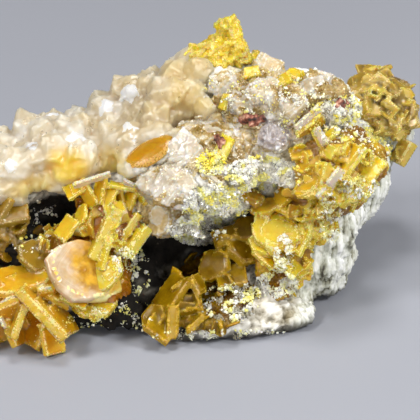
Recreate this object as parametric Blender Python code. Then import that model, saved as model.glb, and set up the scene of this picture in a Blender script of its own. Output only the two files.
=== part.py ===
"""A hand-sized mineral specimen: tabular wulfenite and pale calcite on a piece of vuggy limestone.

The specimen stands on a flattish underside at z = 0. Its broken front leans back, so most of what grows
there is placed by three lengths along that leaning front: across it, up it, and out of it.
"""
import math
import random

import bmesh
import bpy
from mathutils import Matrix, Vector, noise
from mathutils.bvhtree import BVHTree

# Driving dimensions
MM = 0.001
LEAN = math.radians(27)         # how far the broken front leans back from upright
GAP = 0.3                       # mm of clear space between pieces that touch in the real specimen
ROCK_VOXEL = 0.75               # mm, the grain at which the lumps of rock are blended
ROCK_TRIANGLES = 1900           # facets kept on the rock
ROCK_RELIEF = 0.75              # mm, height of the bumps broken into the rock
SLIVER = 0.002                  # mm, corners closer than this are one
CRUST = 1.0                     # mm, thickness of the crust that a cluster's crystals stand on
CALCITE_CRYSTALS = 60           # stubby crystals standing out of the calcite on the slope

ACROSS = Vector((1, 0, 0))
UP = Vector((0, math.sin(LEAN), math.cos(LEAN)))
OUT = Vector((0, -math.cos(LEAN), math.sin(LEAN)))

# Blended lumps: centre x, y, z and half sizes x, y, z, all in mm
ROCK_LUMPS = (
    ((-4, 5, 8), (18, 11, 9)),          # body
    ((10.5, 6, 8), (9, 8.5, 11)),       # right-hand body
    ((13, 4.0, 17), (8.5, 6.5, 6)),     # shoulder under the right-hand crystals
    ((11, 8, 23), (8, 6, 5)),           # top of the shoulder
    ((0, 3, 17), (9, 8.5, 5)),          # overhanging ledge
    ((2.5, 11, 22), (6.5, 5.5, 6.5)),   # ridge below the summit
    ((-8, 9, 14.5), (11, 8, 5.5)),      # slope under the calcite
    ((-19, 5, 9), (14, 9, 8)),          # left wing
    ((-28, 4, 9), (6, 7, 6)),           # left end
    ((-15, -4, 4), (10, 5, 3.6)),       # lip under the left-hand crystals
    ((1, -3.5, 1.4), (13, 5.5, 3.2)),   # floor of the hollow
    ((7, 12.5, 8.5), (13, 9, 8.5)),     # back of the piece
    ((17, 16, 11), (6.5, 7, 7.5)),      # root of the back lobe
    ((22, 20.5, 15), (4.2, 4.5, 6)),    # back lobe
)
# Hollows broken into the front
HOLLOWS = (
    ((-3.4, -5, 7.0), (7.6, 11, 5.2)),       # main hollow
    ((2.5, -4.5, 10.5), (6, 8, 3.4)),        # its upper right end
    ((7.6, -2.4, 15.4), (4.6, 4.4, 2.0)),    # crevice under the ledge
    ((-18, -2.5, 12.4), (5.0, 6.5, 3.4)),    # hollow under the calcite
)
# Massive calcite between its crystals
CALCITE_LUMPS = (
    ((-30, 4, 13.6), (4.2, 6, 3.2)),
    ((-25, 5, 15.4), (6.5, 7, 3.6)),
    ((-18, 6.5, 17), (7, 7, 3.6)),
    ((-11, 8.5, 18.4), (6.5, 6.5, 3.8)),
    ((-5.5, 9.5, 21.4), (5, 5, 4)),
    ((-1.5, 9.0, 24.4), (4, 4, 3.4)),
    ((-5, 3, 18.5), (5.5, 4.6, 3.4)),
)
# Plates of wulfenite. across, up, out (mm on the leaning front), angle of the long side, how far the flat
# face is opened to the front, turn in its own plane (degrees), length, width, thickness (mm), corners
LEFT_PLATES = (
    (-18.9, -0.4, 11.5, -47, 8, 0, 8.2, 6.0, 1.3, 4),
    (-22.1, -1.4, 11.4, 70, 10, 0, 4.2, 4.5, 1.0, 4),
    (-23.4, -1.4, 10.8, 20, -50, 0, 4.5, 5.0, 1.0, 4),
    (-20.1, -1.8, 9.8, 60, 60, 0, 5.0, 4.5, 1.0, 4),
    (-18.0, -3.4, 11.2, -80, 50, 0, 4.0, 3.0, 1.0, 4),
    (-22.4, -2.8, 10.6, -70, 30, 0, 3.4, 3.0, 1.0, 4),
    (-18.6, 2.0, 11.0, 10, -30, 0, 2.2, 2.8, 0.9, 4),
    (-22.4, 3.2, 9.6, 5, 35, 0, 7.5, 5.5, 1.1, 8),
    (-20.4, 6.2, 8.2, -35, 50, 0, 4.2, 3.6, 1.0, 6),
    (-17.0, -1.2, 11.0, -60, 25, 0, 4.2, 4.0, 1.0, 4),
    (-23.4, 10.2, 7.0, -20, 55, 0, 5.2, 4.2, 1.3, 6),
    (-17.2, 2.0, 10.2, -30, 40, 0, 4.0, 3.6, 1.0, 4),
    (-25.9, -1.2, 10.2, 60, 20, 0, 5.0, 4.5, 1.1, 4),
    (-28.6, 0.8, 9.0, -50, 30, 0, 6.0, 5.0, 1.2, 4),
    (-30.6, 3.8, 7.5, 20, 40, 0, 5.5, 5.0, 1.1, 4),
    (-27.4, 5.4, 8.0, -10, 50, 0, 5.0, 4.5, 1.0, 4),
    (-31.2, 7.8, 5.2, 60, 30, 0, 5.0, 4.5, 1.1, 4),
    (-14.2, 4.6, 10.0, -35, 42, 0, 8.2, 7.4, 1.6, 10),
    (-11.7, 9.0, 9.9, 65, 12, 0, 6.8, 3.4, 1.6, 4),
    (-10.4, 11.4, 9.8, 15, 40, 0, 2.6, 2.4, 1.8, 4),
    (-11.4, 3.9, 11.0, 62, 60, 0, 4.0, 3.0, 1.2, 8),
    (-8.1, 8.2, 9.8, 55, 25, 0, 4.4, 3.0, 1.3, 4),
    (-8.9, 9.8, 9.2, 55, 10, 0, 4.0, 3.0, 1.0, 4),
    (-14.4, 10.1, 8.4, 40, 40, 0, 3.0, 2.6, 1.4, 6),
    (-13.0, 0.4, 10.2, 5, 50, 0, 5.0, 3.6, 1.4, 6),
)
LEFT_PADS = (
    ((-22, -4, 5), (6, 3.5, 3.0)),
    ((-29, -2, 7), (3.5, 3.5, 3.5)),
    ((-13.5, -5.5, 7.5), (4.6, 2.8, 3.2)),
    ((-24, -1, 10), (3.6, 3, 3)),
    ((-11, -4.5, 12.0), (3.2, 2.4, 2.4)),
)
LEFT_PATCHES = (((-13.0, -3.5, 9.5), (7.0, 7.0, 8.0)),)
# From here on the third length is how far the plate stands out of the rock behind it
RIGHT_PLATES = (
    (13.1, 22.0, 1.2, 33, -38, 0, 3.6, 4.6, 0.9, 4),
    (13.7, 20.6, 1.4, -55, 30, 0, 2.6, 2.6, 0.9, 4),
    (16.2, 19.2, 0.9, -20, 50, 0, 4.0, 3.4, 1.0, 4),
    (18.8, 17.2, 1.4, 60, -40, 0, 5.4, 4.4, 1.0, 4),
    (20.2, 19.2, 1.0, -50, 40, 0, 3.4, 3.2, 0.9, 4),
    (21.4, 16.8, 0.9, 40, 50, 0, 3.0, 2.8, 1.0, 8),
    (10.0, 14.0, 1.6, 60, 42, 0, 4.4, 4.0, 1.0, 10),
    (12.5, 14.2, 1.3, 45, 30, 0, 3.8, 3.6, 1.0, 8),
    (14.1, 15.8, 1.2, 75, 30, 0, 3.2, 2.8, 0.8, 4),
    (14.8, 14.6, 1.6, 45, 8, 0, 3.0, 3.2, 0.9, 4),
    (14.0, 12.4, 1.2, 55, 25, 0, 4.6, 3.8, 1.0, 4),
    (10.1, 12.0, 1.4, -5, 30, 0, 3.2, 3.6, 0.9, 6),
    (8.7, 9.1, 1.6, -8, 56, 0, 6.1, 5.4, 1.1, 10),
    (8.8, 6.2, 1.6, -50, 18, 0, 5.4, 4.6, 1.2, 4),
    (10.8, 7.4, 1.1, 60, 50, 0, 3.0, 2.8, 0.9, 4),
    (10.8, 4.5, 0.9, -30, 50, 0, 3.0, 2.8, 0.9, 4),
    (12.4, 16.8, 1.0, 30, 50, 0, 3.0, 2.8, 1.2, 4),
    (18.0, 14.6, 1.0, 30, 55, 0, 3.6, 3.2, 1.0, 4),
    (15.6, 13.4, 1.0, 0, 60, 0, 3.2, 3.0, 1.0, 4),
    (12.4, 11.4, 1.2, 20, 40, 0, 3.0, 2.8, 1.0, 4),
    (10.8, 9.6, 0.9, 40, 40, 0, 3.4, 3.4, 1.0, 4),
    (16.6, 16.4, 0.9, -35, 45, 0, 3.4, 3.4, 1.0, 6),
    (11.8, 19.0, 0.8, 10, 50, 0, 3.2, 2.8, 1.0, 4),
)
RIGHT_PATCHES = (
    ((9.5, -4.0, 8.5), (4.0, 5.0, 5.5)),
    ((12.0, -2.0, 13.5), (4.6, 5.5, 4.5)),
    ((16.0, -1.0, 18.0), (6.0, 5.5, 5.5)),
    ((18.5, 1.0, 20.0), (4.5, 5.5, 4.0)),
)
HOLLOW_PLATES = (
    (-3.8, -1.6, 9.0, 88, 5, 0, 4.1, 3.2, 1.3, 4),
    (-5.2, -2.5, 9.7, -35, 45, 0, 3.6, 3.0, 1.0, 4),
    (-5.9, -1.0, 8.6, 50, 55, 0, 3.2, 3.0, 1.0, 6),
    (-3.8, 1.8, 7.6, 55, 40, 0, 5.0, 3.6, 1.0, 4),
    (1.3, 5.2, 6.4, 60, 55, 0, 4.2, 3.8, 1.0, 10),
    (-1.7, 0.6, 8.0, 10, 50, 0, 3.2, 3.0, 1.1, 4),
    (-0.8, 2.8, 7.6, -60, 25, 0, 2.6, 2.4, 0.8, 4),
    (-1.0, -1.7, 9.0, 45, 10, 0, 2.8, 2.4, 0.8, 4),
    (2.9, 8.4, 5.6, 20, 35, 0, 2.8, 2.6, 2.0, 4),
    (4.6, 7.0, 6.2, -40, 50, 0, 4.2, 3.6, 1.1, 6),
    (5.6, 9.6, 5.8, 20, 55, 0, 4.2, 3.6, 1.1, 8),
    (3.4, 3.8, 7.2, 10, 50, 0, 3.6, 3.2, 1.0, 4),
)
HOLLOW_PATCHES = (
    ((0.5, -3.5, 4.0), (6.5, 8.0, 4.5)),
    ((4.5, -2.5, 8.0), (5.0, 6.0, 4.5)),
)
SUMMIT_PLATES = (
    (3.6, 32.2, 2.0, 110, 25, 0, 6.2, 4.2, 1.7, 4),
    (1.2, 31.4, 2.2, 33, 30, 0, 4.8, 4.0, 1.5, 4),
    (-1.0, 30.6, 2.6, 70, 40, 0, 2.6, 2.2, 1.2, 4),
    (4.8, 30.2, 2.4, -60, 45, 0, 3.2, 2.8, 1.3, 4),
    (2.2, 30.2, 3.0, 0, 50, 0, 3.4, 3.0, 1.3, 6),
    (3.0, 31.0, 0.4, 60, 20, 0, 4.6, 4.0, 1.4, 4),
    (7.0, 29.6, 1.4, -35, 35, 0, 3.2, 2.8, 1.1, 4),
)
SUMMIT_PADS = (((2.6, 12.0, 26.6), (3.4, 3.0, 2.2)),)
LENS_PLATES = ((-6.4, 18.8, 10.4, 30, 30, 0, 6.8, 4.8, 1.9, 10),)
LOBE_PLATES = (
    (19.6, 27.4, -8.4, 30, 40, 0, 3.6, 3.2, 1.6, 6),
    (23.8, 26.6, -8.8, -40, 45, 0, 3.6, 3.0, 1.6, 6),
    (22.8, 22.8, -7.0, 10, 50, 0, 4.2, 3.4, 1.6, 6),
    (24.8, 19.0, -8.2, 60, 35, 0, 3.2, 2.8, 1.4, 4),
    (21.6, 28.6, -11.0, -10, 30, 0, 4.0, 3.4, 1.6, 6),
    (25.4, 23.4, -11.0, 70, 20, 0, 4.0, 3.4, 1.6, 4),
    (20.2, 24.4, -7.0, -20, 50, 0, 3.2, 2.8, 1.2, 4),
)
LOBE_PATCHES = (((22.4, 19.4, 18.0), (5.2, 5.0, 5.2)),)
# Plates of calcite standing on the ledge: across, up, stand, then as above
LEDGE_PLATES = (
    (-3.8, 14.2, 0.7, 20, 60, 0, 5.2, 4.6, 1.3, 8),
    (-6.2, 15.6, 0.7, 40, 65, 0, 3.4, 3.0, 1.0, 8),
    (-5.2, 10.4, 0.8, 70, 60, 0, 3.8, 3.4, 1.3, 8),
    (-2.2, 18.6, 0.9, 40, 50, 0, 4.0, 3.6, 0.9, 8),
    (0.8, 23.2, 0.8, 5, 40, 0, 3.4, 3.2, 1.8, 4),
    (2.3, 27.4, 0.8, 15, 40, 0, 3.2, 2.8, 1.5, 6),
    (13.4, 26.0, 1.2, 95, 55, 45, 4.6, 4.0, 1.7, 4),
    (8.0, 28.6, 0.9, -30, 45, 0, 4.4, 3.8, 1.8, 6),
    (7.2, 26.0, 0.8, 0, 55, 0, 4.4, 3.8, 2.0, 6),
    (8.2, 20.4, 0.9, 0, 60, 0, 3.8, 3.6, 2.4, 8),
    (15.6, 24.2, 0.8, -10, 40, 0, 3.6, 3.0, 1.2, 4),
    (4.6, 20.4, 0.7, 30, 50, 0, 3.6, 3.2, 1.4, 4),
    (4.8, 24.6, 0.7, -20, 50, 0, 3.8, 3.2, 1.4, 5),
    (10.6, 23.8, 0.7, 50, 50, 0, 3.8, 3.2, 1.4, 4),
    (1.4, 16.0, 0.6, -35, 55, 0, 3.2, 3.0, 1.2, 4),
    (5.2, 16.8, 0.6, 60, 45, 0, 3.2, 2.8, 1.2, 5),
)
LEDGE_PATCHES = (
    ((-4.0, -0.5, 16.0), (5.5, 6.5, 5.5)),
    ((1.5, 1.5, 20.4), (6.0, 6.5, 5.0)),
    ((7.5, 5.0, 24.4), (7.0, 6.5, 4.8)),
    ((13.0, 3.5, 25.0), (5.5, 6.0, 4.5)),
)


def spot(across, up, out):
    """A point on the leaning front, from lengths in mm."""
    return (ACROSS * across + UP * up + OUT * out) * MM


def laid(place, line, opened, turn=0.0):
    """The placing of a crystal plate whose long side runs at the angle `line` on the front, and whose flat
    face is edge-on to a person in front at `opened` 0 and square to that person at 90 (degrees)."""
    a, b = math.radians(line), math.radians(opened)
    along = ACROSS * math.cos(a) + UP * math.sin(a)
    side = UP * math.cos(a) - ACROSS * math.sin(a)
    normal = side * math.cos(b) + OUT * math.sin(b)
    across = normal.cross(along)
    basis = Matrix((along, across, normal)).transposed().to_4x4()
    return Matrix.Translation(place) @ basis @ Matrix.Rotation(math.radians(turn), 4, 'Z')


def ringed(bm, sides, rings, placing):
    """A closed crystal drawn up through rings of `sides` corners: each ring is (half x, half y, height)."""
    corner = 1.0 / math.cos(math.pi / sides)
    spin = Matrix.Rotation(math.pi / sides, 4, 'Z')
    verts = bmesh.ops.create_circle(bm, cap_ends=True, segments=sides, radius=1.0)["verts"]
    first = rings[0]
    size = Matrix.Diagonal((first[0] * corner, first[1] * corner, 1, 1))
    bmesh.ops.transform(bm, matrix=Matrix.Translation((0, 0, first[2])) @ size @ spin, verts=verts)
    everything = list(verts)
    face = verts[0].link_faces[0]
    for before, ring in zip(rings, rings[1:]):
        grown = bmesh.ops.extrude_face_region(bm, geom=[face])["geom"]
        if before is not first:
            bmesh.ops.delete(bm, geom=[face], context='FACES_ONLY')
        face = next(g for g in grown if isinstance(g, bmesh.types.BMFace))
        top = list(face.verts)
        size = Matrix.Diagonal((ring[0] / before[0], ring[1] / before[1], 1, 1))
        lift = Matrix.Translation((0, 0, ring[2] - before[2]))
        bmesh.ops.transform(bm, matrix=lift @ size, verts=top)
        everything += top
    bmesh.ops.transform(bm, matrix=placing, verts=everything)
    bmesh.ops.recalc_face_normals(bm, faces=list({f for v in everything for f in v.link_faces}))


def plate(bm, placing, length, width, thick, sides=4):
    """A tabular crystal: two flat faces and a bevelled rim. Sizes in mm."""
    x, y, h = length / 2 * MM, width / 2 * MM, thick / 2 * MM
    inset = min(0.8 * h, 0.35 * min(x, y))
    ringed(bm, sides, ((x - inset, y - inset, -h), (x, y, 0), (x - inset, y - inset, h)), placing)


def stub(bm, placing, width, height, sides):
    """A stubby calcite crystal that narrows to a blunt end. Sizes in mm."""
    w, h = width / 2 * MM, height / 2 * MM
    rings = ((0.8 * w, 0.7 * w, -h), (w, 0.9 * w, 0.3 * h), (0.42 * w, 0.34 * w, h))
    ringed(bm, sides, rings, placing)


def ellipsoid(bm, centre, half, subdivisions=2, grow=0.0):
    size = Matrix.Diagonal(((half[0] + grow) * MM, (half[1] + grow) * MM, (half[2] + grow) * MM, 1))
    place = Matrix.Translation(Vector(centre) * MM)
    bmesh.ops.create_icosphere(bm, subdivisions=subdivisions, radius=1.0, matrix=place @ size)


def piece(name, bm):
    """A new object holding what the bmesh has."""
    mesh = bpy.data.meshes.new(name)
    bm.to_mesh(mesh)
    bm.free()
    made = bpy.data.objects.new(name, mesh)
    bpy.context.scene.collection.objects.link(made)
    return made


def baked(obj):
    """Replaces the object's mesh by the one its modifiers make."""
    graph = bpy.context.evaluated_depsgraph_get()
    mesh = bpy.data.meshes.new_from_object(obj.evaluated_get(graph))
    obj.modifiers.clear()
    obj.data = mesh
    return obj


def cut(obj, *cutters):
    """Takes each cutter out of the object, then removes the cutter."""
    for cutter in cutters:
        boolean = obj.modifiers.new("cut", 'BOOLEAN')
        boolean.operation = 'DIFFERENCE'
        boolean.solver = 'EXACT'
        boolean.use_self = True
        boolean.object = cutter
        baked(obj)
        bpy.data.objects.remove(cutter)
    return obj


def remeshed(obj, voxel):
    remesh = obj.modifiers.new("blend", 'REMESH')
    remesh.mode = 'VOXEL'
    remesh.voxel_size = voxel * MM
    return baked(obj)


def bodies_of(bm):
    """The connected bodies of a bmesh, as sets of faces."""
    bodies, seen = [], set()
    for face in bm.faces:
        if face in seen:
            continue
        body, edge = {face}, [face]
        while edge:
            for near in (f for e in edge.pop().edges for f in e.link_faces if f not in body):
                body.add(near)
                edge.append(near)
        seen |= body
        bodies.append(body)
    return bodies


def settled(obj, triangles):
    """Merges the slivers that cuts leave, keeps the main body, and thins it to a number of triangles."""
    bm = bmesh.new()
    bm.from_mesh(obj.data)
    bmesh.ops.remove_doubles(bm, verts=bm.verts, dist=SLIVER * MM)
    bmesh.ops.dissolve_degenerate(bm, edges=bm.edges, dist=SLIVER * MM)
    bodies = bodies_of(bm)
    largest = max(bodies, key=lambda b: sum(f.calc_area() for f in b))
    chips = [f for b in bodies if b is not largest for f in b]
    sizes = sorted((round(sum(f.calc_area() for f in b) / MM ** 2, 1) for b in bodies), reverse=True)
    bmesh.ops.delete(bm, geom=chips, context='FACES')
    bmesh.ops.dissolve_limit(bm, angle_limit=math.radians(1), verts=bm.verts, edges=bm.edges)
    bmesh.ops.triangulate(bm, faces=bm.faces)
    before = len(bm.faces)
    bm.to_mesh(obj.data)
    bm.free()
    if before > triangles:
        decimate = obj.modifiers.new("facets", 'DECIMATE')
        decimate.ratio = triangles / before
        decimate.use_collapse_triangulate = True
        baked(obj)
    bm = bmesh.new()
    bm.from_mesh(obj.data)
    bmesh.ops.dissolve_degenerate(bm, edges=bm.edges, dist=SLIVER * MM)
    bmesh.ops.triangulate(bm, faces=bm.faces)
    bmesh.ops.recalc_face_normals(bm, faces=bm.faces)
    loose = sum(1 for e in bm.edges if not e.is_manifold)
    volume = bm.calc_volume() / MM ** 3
    print(f"{obj.name}: bodies {sizes[:4]} mm2, {before} -> {len(bm.faces)} triangles, "
          f"{loose} open edges, {volume:.0f} mm3")
    bm.to_mesh(obj.data)
    bm.free()
    return obj


def blended(name, lumps, voxel):
    bm = bmesh.new()
    for centre, half in lumps:
        ellipsoid(bm, centre, half, 3)
    return remeshed(piece(name, bm), voxel)


def roughened(body, relief):
    """Bumps of several sizes and faint bedding ledges, worked from the place of each point."""
    bm = bmesh.new()
    bm.from_mesh(body.data)
    bm.normal_update()
    for v in bm.verts:
        at = v.co / MM
        bumps = noise.fractal(at * 0.28, 0.8, 2.0, 4)
        ledges = 0.35 * math.sin(1.5 * at.z + 2.0 * noise.noise(at * 0.2))
        v.co += v.normal * relief * MM * (bumps + ledges)
    bm.to_mesh(body.data)
    bm.free()


def rock():
    """The limestone: lumps blended together, hollows broken in, relief, and a flat underside."""
    body = blended("matrix", ROCK_LUMPS, ROCK_VOXEL)
    cut(body, blended("hollows", HOLLOWS, ROCK_VOXEL))
    remeshed(body, ROCK_VOXEL)
    roughened(body, ROCK_RELIEF)
    settled(body, ROCK_TRIANGLES)

    bm = bmesh.new()
    bm.from_mesh(body.data)
    whole = bm.verts[:] + bm.edges[:] + bm.faces[:]
    bmesh.ops.bisect_plane(bm, geom=whole, plane_co=(0, 0, 0), plane_no=(0, 0, -1), clear_outer=True)
    bmesh.ops.holes_fill(bm, edges=[e for e in bm.edges if e.is_boundary])
    bmesh.ops.recalc_face_normals(bm, faces=bm.faces)
    bm.to_mesh(body.data)
    bm.free()
    return settled(body, ROCK_TRIANGLES + 200)


def swollen(name, source, by):
    """A copy of a piece with its skin moved out by a length in mm."""
    bm = bmesh.new()
    bm.from_mesh(source.data)
    bm.normal_update()
    for v in bm.verts:
        v.co += v.normal * by * MM
    return piece(name, bm)


def crust(stone, patches, grow):
    """The part of a thin coat over the rock that lies within the patches."""
    coat = swollen("coat", stone, CRUST + grow)
    bm = bmesh.new()
    for centre, half in patches:
        ellipsoid(bm, centre, half, 2, grow)
    within = piece("within", bm)
    boolean = coat.modifiers.new("within", 'BOOLEAN')
    boolean.operation = 'INTERSECT'
    boolean.solver = 'EXACT'
    boolean.use_self = True
    boolean.object = within
    baked(coat)
    bpy.data.objects.remove(within)
    return coat


def cluster(name, stone, plates, pads=(), patches=(), standing=False, grow=0.0):
    """Crystals and what they stand on, still overlapping. With `standing`, the third length of a plate is
    measured out from the rock."""
    bm = bmesh.new()
    if patches:
        coat = crust(stone, patches, grow)
        bm.from_mesh(coat.data)
        bpy.data.objects.remove(coat)
    skin = skin_of(stone)
    for across, up, out, line, opened, turn, length, width, thick, sides in plates:
        place = spot(across, up, out)
        if standing:
            found = skin.ray_cast(spot(across, up, 40), -OUT)[0]
            place = found + OUT * out * MM if found else spot(across, up, 8)
        plate(bm, laid(place, line, opened, turn),
              length + 2 * grow, width + 2 * grow, thick + 2 * grow, sides)
    for centre, half in pads:
        ellipsoid(bm, centre, half, 2, grow)
    return piece(name, bm)


def skin_of(obj):
    bm = bmesh.new()
    bm.from_mesh(obj.data)
    skin = BVHTree.FromBMesh(bm)
    bm.free()
    return skin


def calcite_slope(name):
    """The pale calcite on the left-hand slope: massive below, stubby crystals above."""
    bm = bmesh.new()
    for centre, half in CALCITE_LUMPS:
        ellipsoid(bm, centre, half, 3)
    body = remeshed(piece(name, bm), 0.9)
    settled(body, 420)
    bm = bmesh.new()
    bm.from_mesh(body.data)
    skin = BVHTree.FromBMesh(bm)
    rng = random.Random(7)
    sown = 0
    while sown < CALCITE_CRYSTALS:
        above = Vector((rng.uniform(-34, 1), rng.uniform(-3, 16), 45)) * MM
        toward = Vector((rng.uniform(-0.35, 0.35), rng.uniform(-0.1, 0.9), -1)).normalized()
        place, normal, _, _ = skin.ray_cast(above, toward)
        if place is None or normal.z < 0.05:
            continue
        width = rng.uniform(2.4, 4.2)
        aim = (normal + 0.45 * Vector([rng.uniform(-1, 1) for _ in range(3)])).normalized()
        turn = aim.to_track_quat('Z', 'Y').to_matrix().to_4x4()
        spin = Matrix.Rotation(rng.uniform(0, math.tau), 4, 'Z')
        stub(bm, Matrix.Translation(place) @ turn @ spin, width, width * rng.uniform(0.7, 1.0),
             rng.choice((4, 5, 6)))
        sown += 1
    bm.to_mesh(body.data)
    bm.free()
    return body


# What grows on the rock: its crystals and footing, and its colour
GROWTHS = {
    "left_wulfenite": dict(plates=LEFT_PLATES, pads=LEFT_PADS, patches=LEFT_PATCHES),
    "right_wulfenite": dict(plates=RIGHT_PLATES, patches=RIGHT_PATCHES, standing=True),
    "summit_wulfenite": dict(plates=SUMMIT_PLATES, pads=SUMMIT_PADS),
    "lens_wulfenite": dict(plates=LENS_PLATES),
    "lobe_wulfenite": dict(plates=LOBE_PLATES, patches=LOBE_PATCHES),
    "hollow_wulfenite": dict(plates=HOLLOW_PLATES, patches=HOLLOW_PATCHES),
    "ledge_calcite": dict(plates=LEDGE_PLATES, patches=LEDGE_PATCHES, standing=True),
}
# In the order they are made: name, what it stays clear of besides the rock, triangles it keeps
ORDER = (
    ("left_wulfenite", (), 1700),
    ("right_wulfenite", (), 1600),
    ("summit_wulfenite", (), 420),
    ("lens_wulfenite", (), 100),
    ("lobe_wulfenite", (), 420),
    ("hollow_wulfenite", ("left_wulfenite", "right_wulfenite"), 900),
    ("ledge_calcite", ("left_wulfenite", "right_wulfenite", "summit_wulfenite", "lens_wulfenite"), 1100),
    ("slope_calcite", ("left_wulfenite", "summit_wulfenite", "lens_wulfenite", "ledge_calcite"), 1500),
)
# Colour (linear) and roughness by kind
LOOKS = {
    "matrix": ((0.42, 0.40, 0.36, 1), 0.85),
    "wulfenite": ((0.80, 0.40, 0.03, 1), 0.18),
    "calcite": ((0.82, 0.76, 0.66, 1), 0.30),
}


def coloured(obj):
    """The piece's own material, from the kind that its name ends with."""
    colour, roughness = LOOKS[obj.name.split("_")[-1]]
    material = bpy.data.materials.new(obj.name)
    material.use_nodes = True
    shader = material.node_tree.nodes["Principled BSDF"]
    shader.inputs["Base Color"].default_value = colour
    shader.inputs["Roughness"].default_value = roughness
    shader.inputs["Metallic"].default_value = 0.0
    obj.data.materials.clear()
    obj.data.materials.append(material)


def specimen():
    stone = rock()
    made = [stone]
    for name, neighbours, triangles in ORDER:
        if name == "slope_calcite":
            body = calcite_slope(name)
        else:
            body = cluster(name, stone, **GROWTHS[name])
        cut(body, swollen("clear", stone, GAP))
        for near in neighbours:
            cut(body, cluster("clear", stone, grow=GAP, **GROWTHS[near]))
        made.append(settled(body, triangles))
    for obj in made:
        coloured(obj)
    return made


for old in list(bpy.data.objects):
    bpy.data.objects.remove(old)
total = 0
for obj in specimen():
    count = len(obj.data.polygons)
    lowest = min(v.co.z for v in obj.data.vertices) / MM
    print(f"{obj.name}: {count} triangles, lowest point {lowest:.2f} mm")
    total += count
print(f"all: {total} triangles")
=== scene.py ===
# %% [markdown]
# # A wulfenite specimen
# The piece is a lump of vuggy limestone a little over 60 mm long. Thick amber blades of wulfenite fan out
# of its left side and run down its right side, pale calcite covers its upper left slope, and sugary druse
# covers the ledge between them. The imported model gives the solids. This lesson grows a fine skin of rock
# and hundreds of single crystals in their place.

# %% The solids to dress
import math
import random

import bmesh
import bpy
import numpy as np
from mathutils import Matrix, Vector, noise
from mathutils.bvhtree import BVHTree


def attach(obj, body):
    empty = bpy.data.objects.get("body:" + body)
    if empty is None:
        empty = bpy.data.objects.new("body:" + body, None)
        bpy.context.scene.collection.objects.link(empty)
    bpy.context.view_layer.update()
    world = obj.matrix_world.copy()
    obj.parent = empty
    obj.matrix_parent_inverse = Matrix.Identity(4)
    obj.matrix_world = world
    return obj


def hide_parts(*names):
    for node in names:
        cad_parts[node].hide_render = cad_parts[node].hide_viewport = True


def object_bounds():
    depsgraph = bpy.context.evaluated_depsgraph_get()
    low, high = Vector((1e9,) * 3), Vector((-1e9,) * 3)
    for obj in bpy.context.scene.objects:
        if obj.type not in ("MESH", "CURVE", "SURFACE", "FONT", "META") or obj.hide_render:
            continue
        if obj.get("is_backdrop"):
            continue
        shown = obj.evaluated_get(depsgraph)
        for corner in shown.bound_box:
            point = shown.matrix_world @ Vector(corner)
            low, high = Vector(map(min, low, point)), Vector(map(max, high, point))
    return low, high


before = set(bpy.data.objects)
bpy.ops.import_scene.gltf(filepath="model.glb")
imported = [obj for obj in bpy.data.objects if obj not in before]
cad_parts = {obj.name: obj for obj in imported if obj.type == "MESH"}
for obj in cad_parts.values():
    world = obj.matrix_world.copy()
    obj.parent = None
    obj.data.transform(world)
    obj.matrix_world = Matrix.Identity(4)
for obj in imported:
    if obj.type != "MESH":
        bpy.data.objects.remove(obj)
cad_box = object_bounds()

MM = 0.001
FAR = 40        # mm out from the piece, where a look at it starts
FRONT = 8       # mm out, where most of the front lies
scene = bpy.context.scene
print("solids:", ", ".join(sorted(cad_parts)))
print("size of the solids in mm:", [round(c / MM, 1) for c in cad_box[1] - cad_box[0]])

# %% [markdown]
# ## Finding one's way on a leaning front
# The broken front leans back by 27 degrees and nearly everything grows on it. Places could be given in
# x, y and z, but three lengths are easier to read off the real piece: across the front, up it, and out of
# it. `laid` turns a plate so that its long side runs at an angle on the front, and opens its flat face
# towards a person in front by 0 (edge-on) to 90 degrees (square on).

# %% Across, up and out
LEAN = math.radians(27)
ACROSS = Vector((1, 0, 0))
UP = Vector((0, math.sin(LEAN), math.cos(LEAN)))
OUT = Vector((0, -math.cos(LEAN), math.sin(LEAN)))


def spot(across, up, out):
    """A point on the leaning front, from lengths in mm."""
    return (ACROSS * across + UP * up + OUT * out) * MM


def laid(place, line, opened):
    """The placing of a plate, with its flat face along its own z."""
    a, b = math.radians(line), math.radians(opened)
    along = ACROSS * math.cos(a) + UP * math.sin(a)
    side = UP * math.cos(a) - ACROSS * math.sin(a)
    normal = side * math.cos(b) + OUT * math.sin(b)
    basis = Matrix((along, normal.cross(along), normal)).transposed().to_4x4()
    return Matrix.Translation(place) @ basis


def standing(place, normal, rng, stray=0.5):
    """The placing of a crystal that stands on a surface, strayed from the surface's own direction."""
    aim = normal + stray * Vector([rng.uniform(-1, 1) for _ in range(3)])
    turn = aim.normalized().to_track_quat('Z', 'Y').to_matrix().to_4x4()
    return Matrix.Translation(place) @ turn @ Matrix.Rotation(rng.uniform(0, math.tau), 4, 'Z')


print("one mm up the front is", [round(c, 3) for c in UP], "and one mm out is", [round(c, 3) for c in OUT])

# %% [markdown]
# ## A crystal drawn up through rings
# A crystal with flat faces can be carved from a block with cutting planes, or drawn up from a flat face by
# extruding it through rings of a few corners. The rings are quicker, and the same few lines make a blade,
# a lens or a blunt stub: only the rings differ. A vertex attribute, `tone`, is one number per crystal, so
# that no two neighbours need have the same colour.

# %% Rings, blades, lenses and stubs


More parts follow.
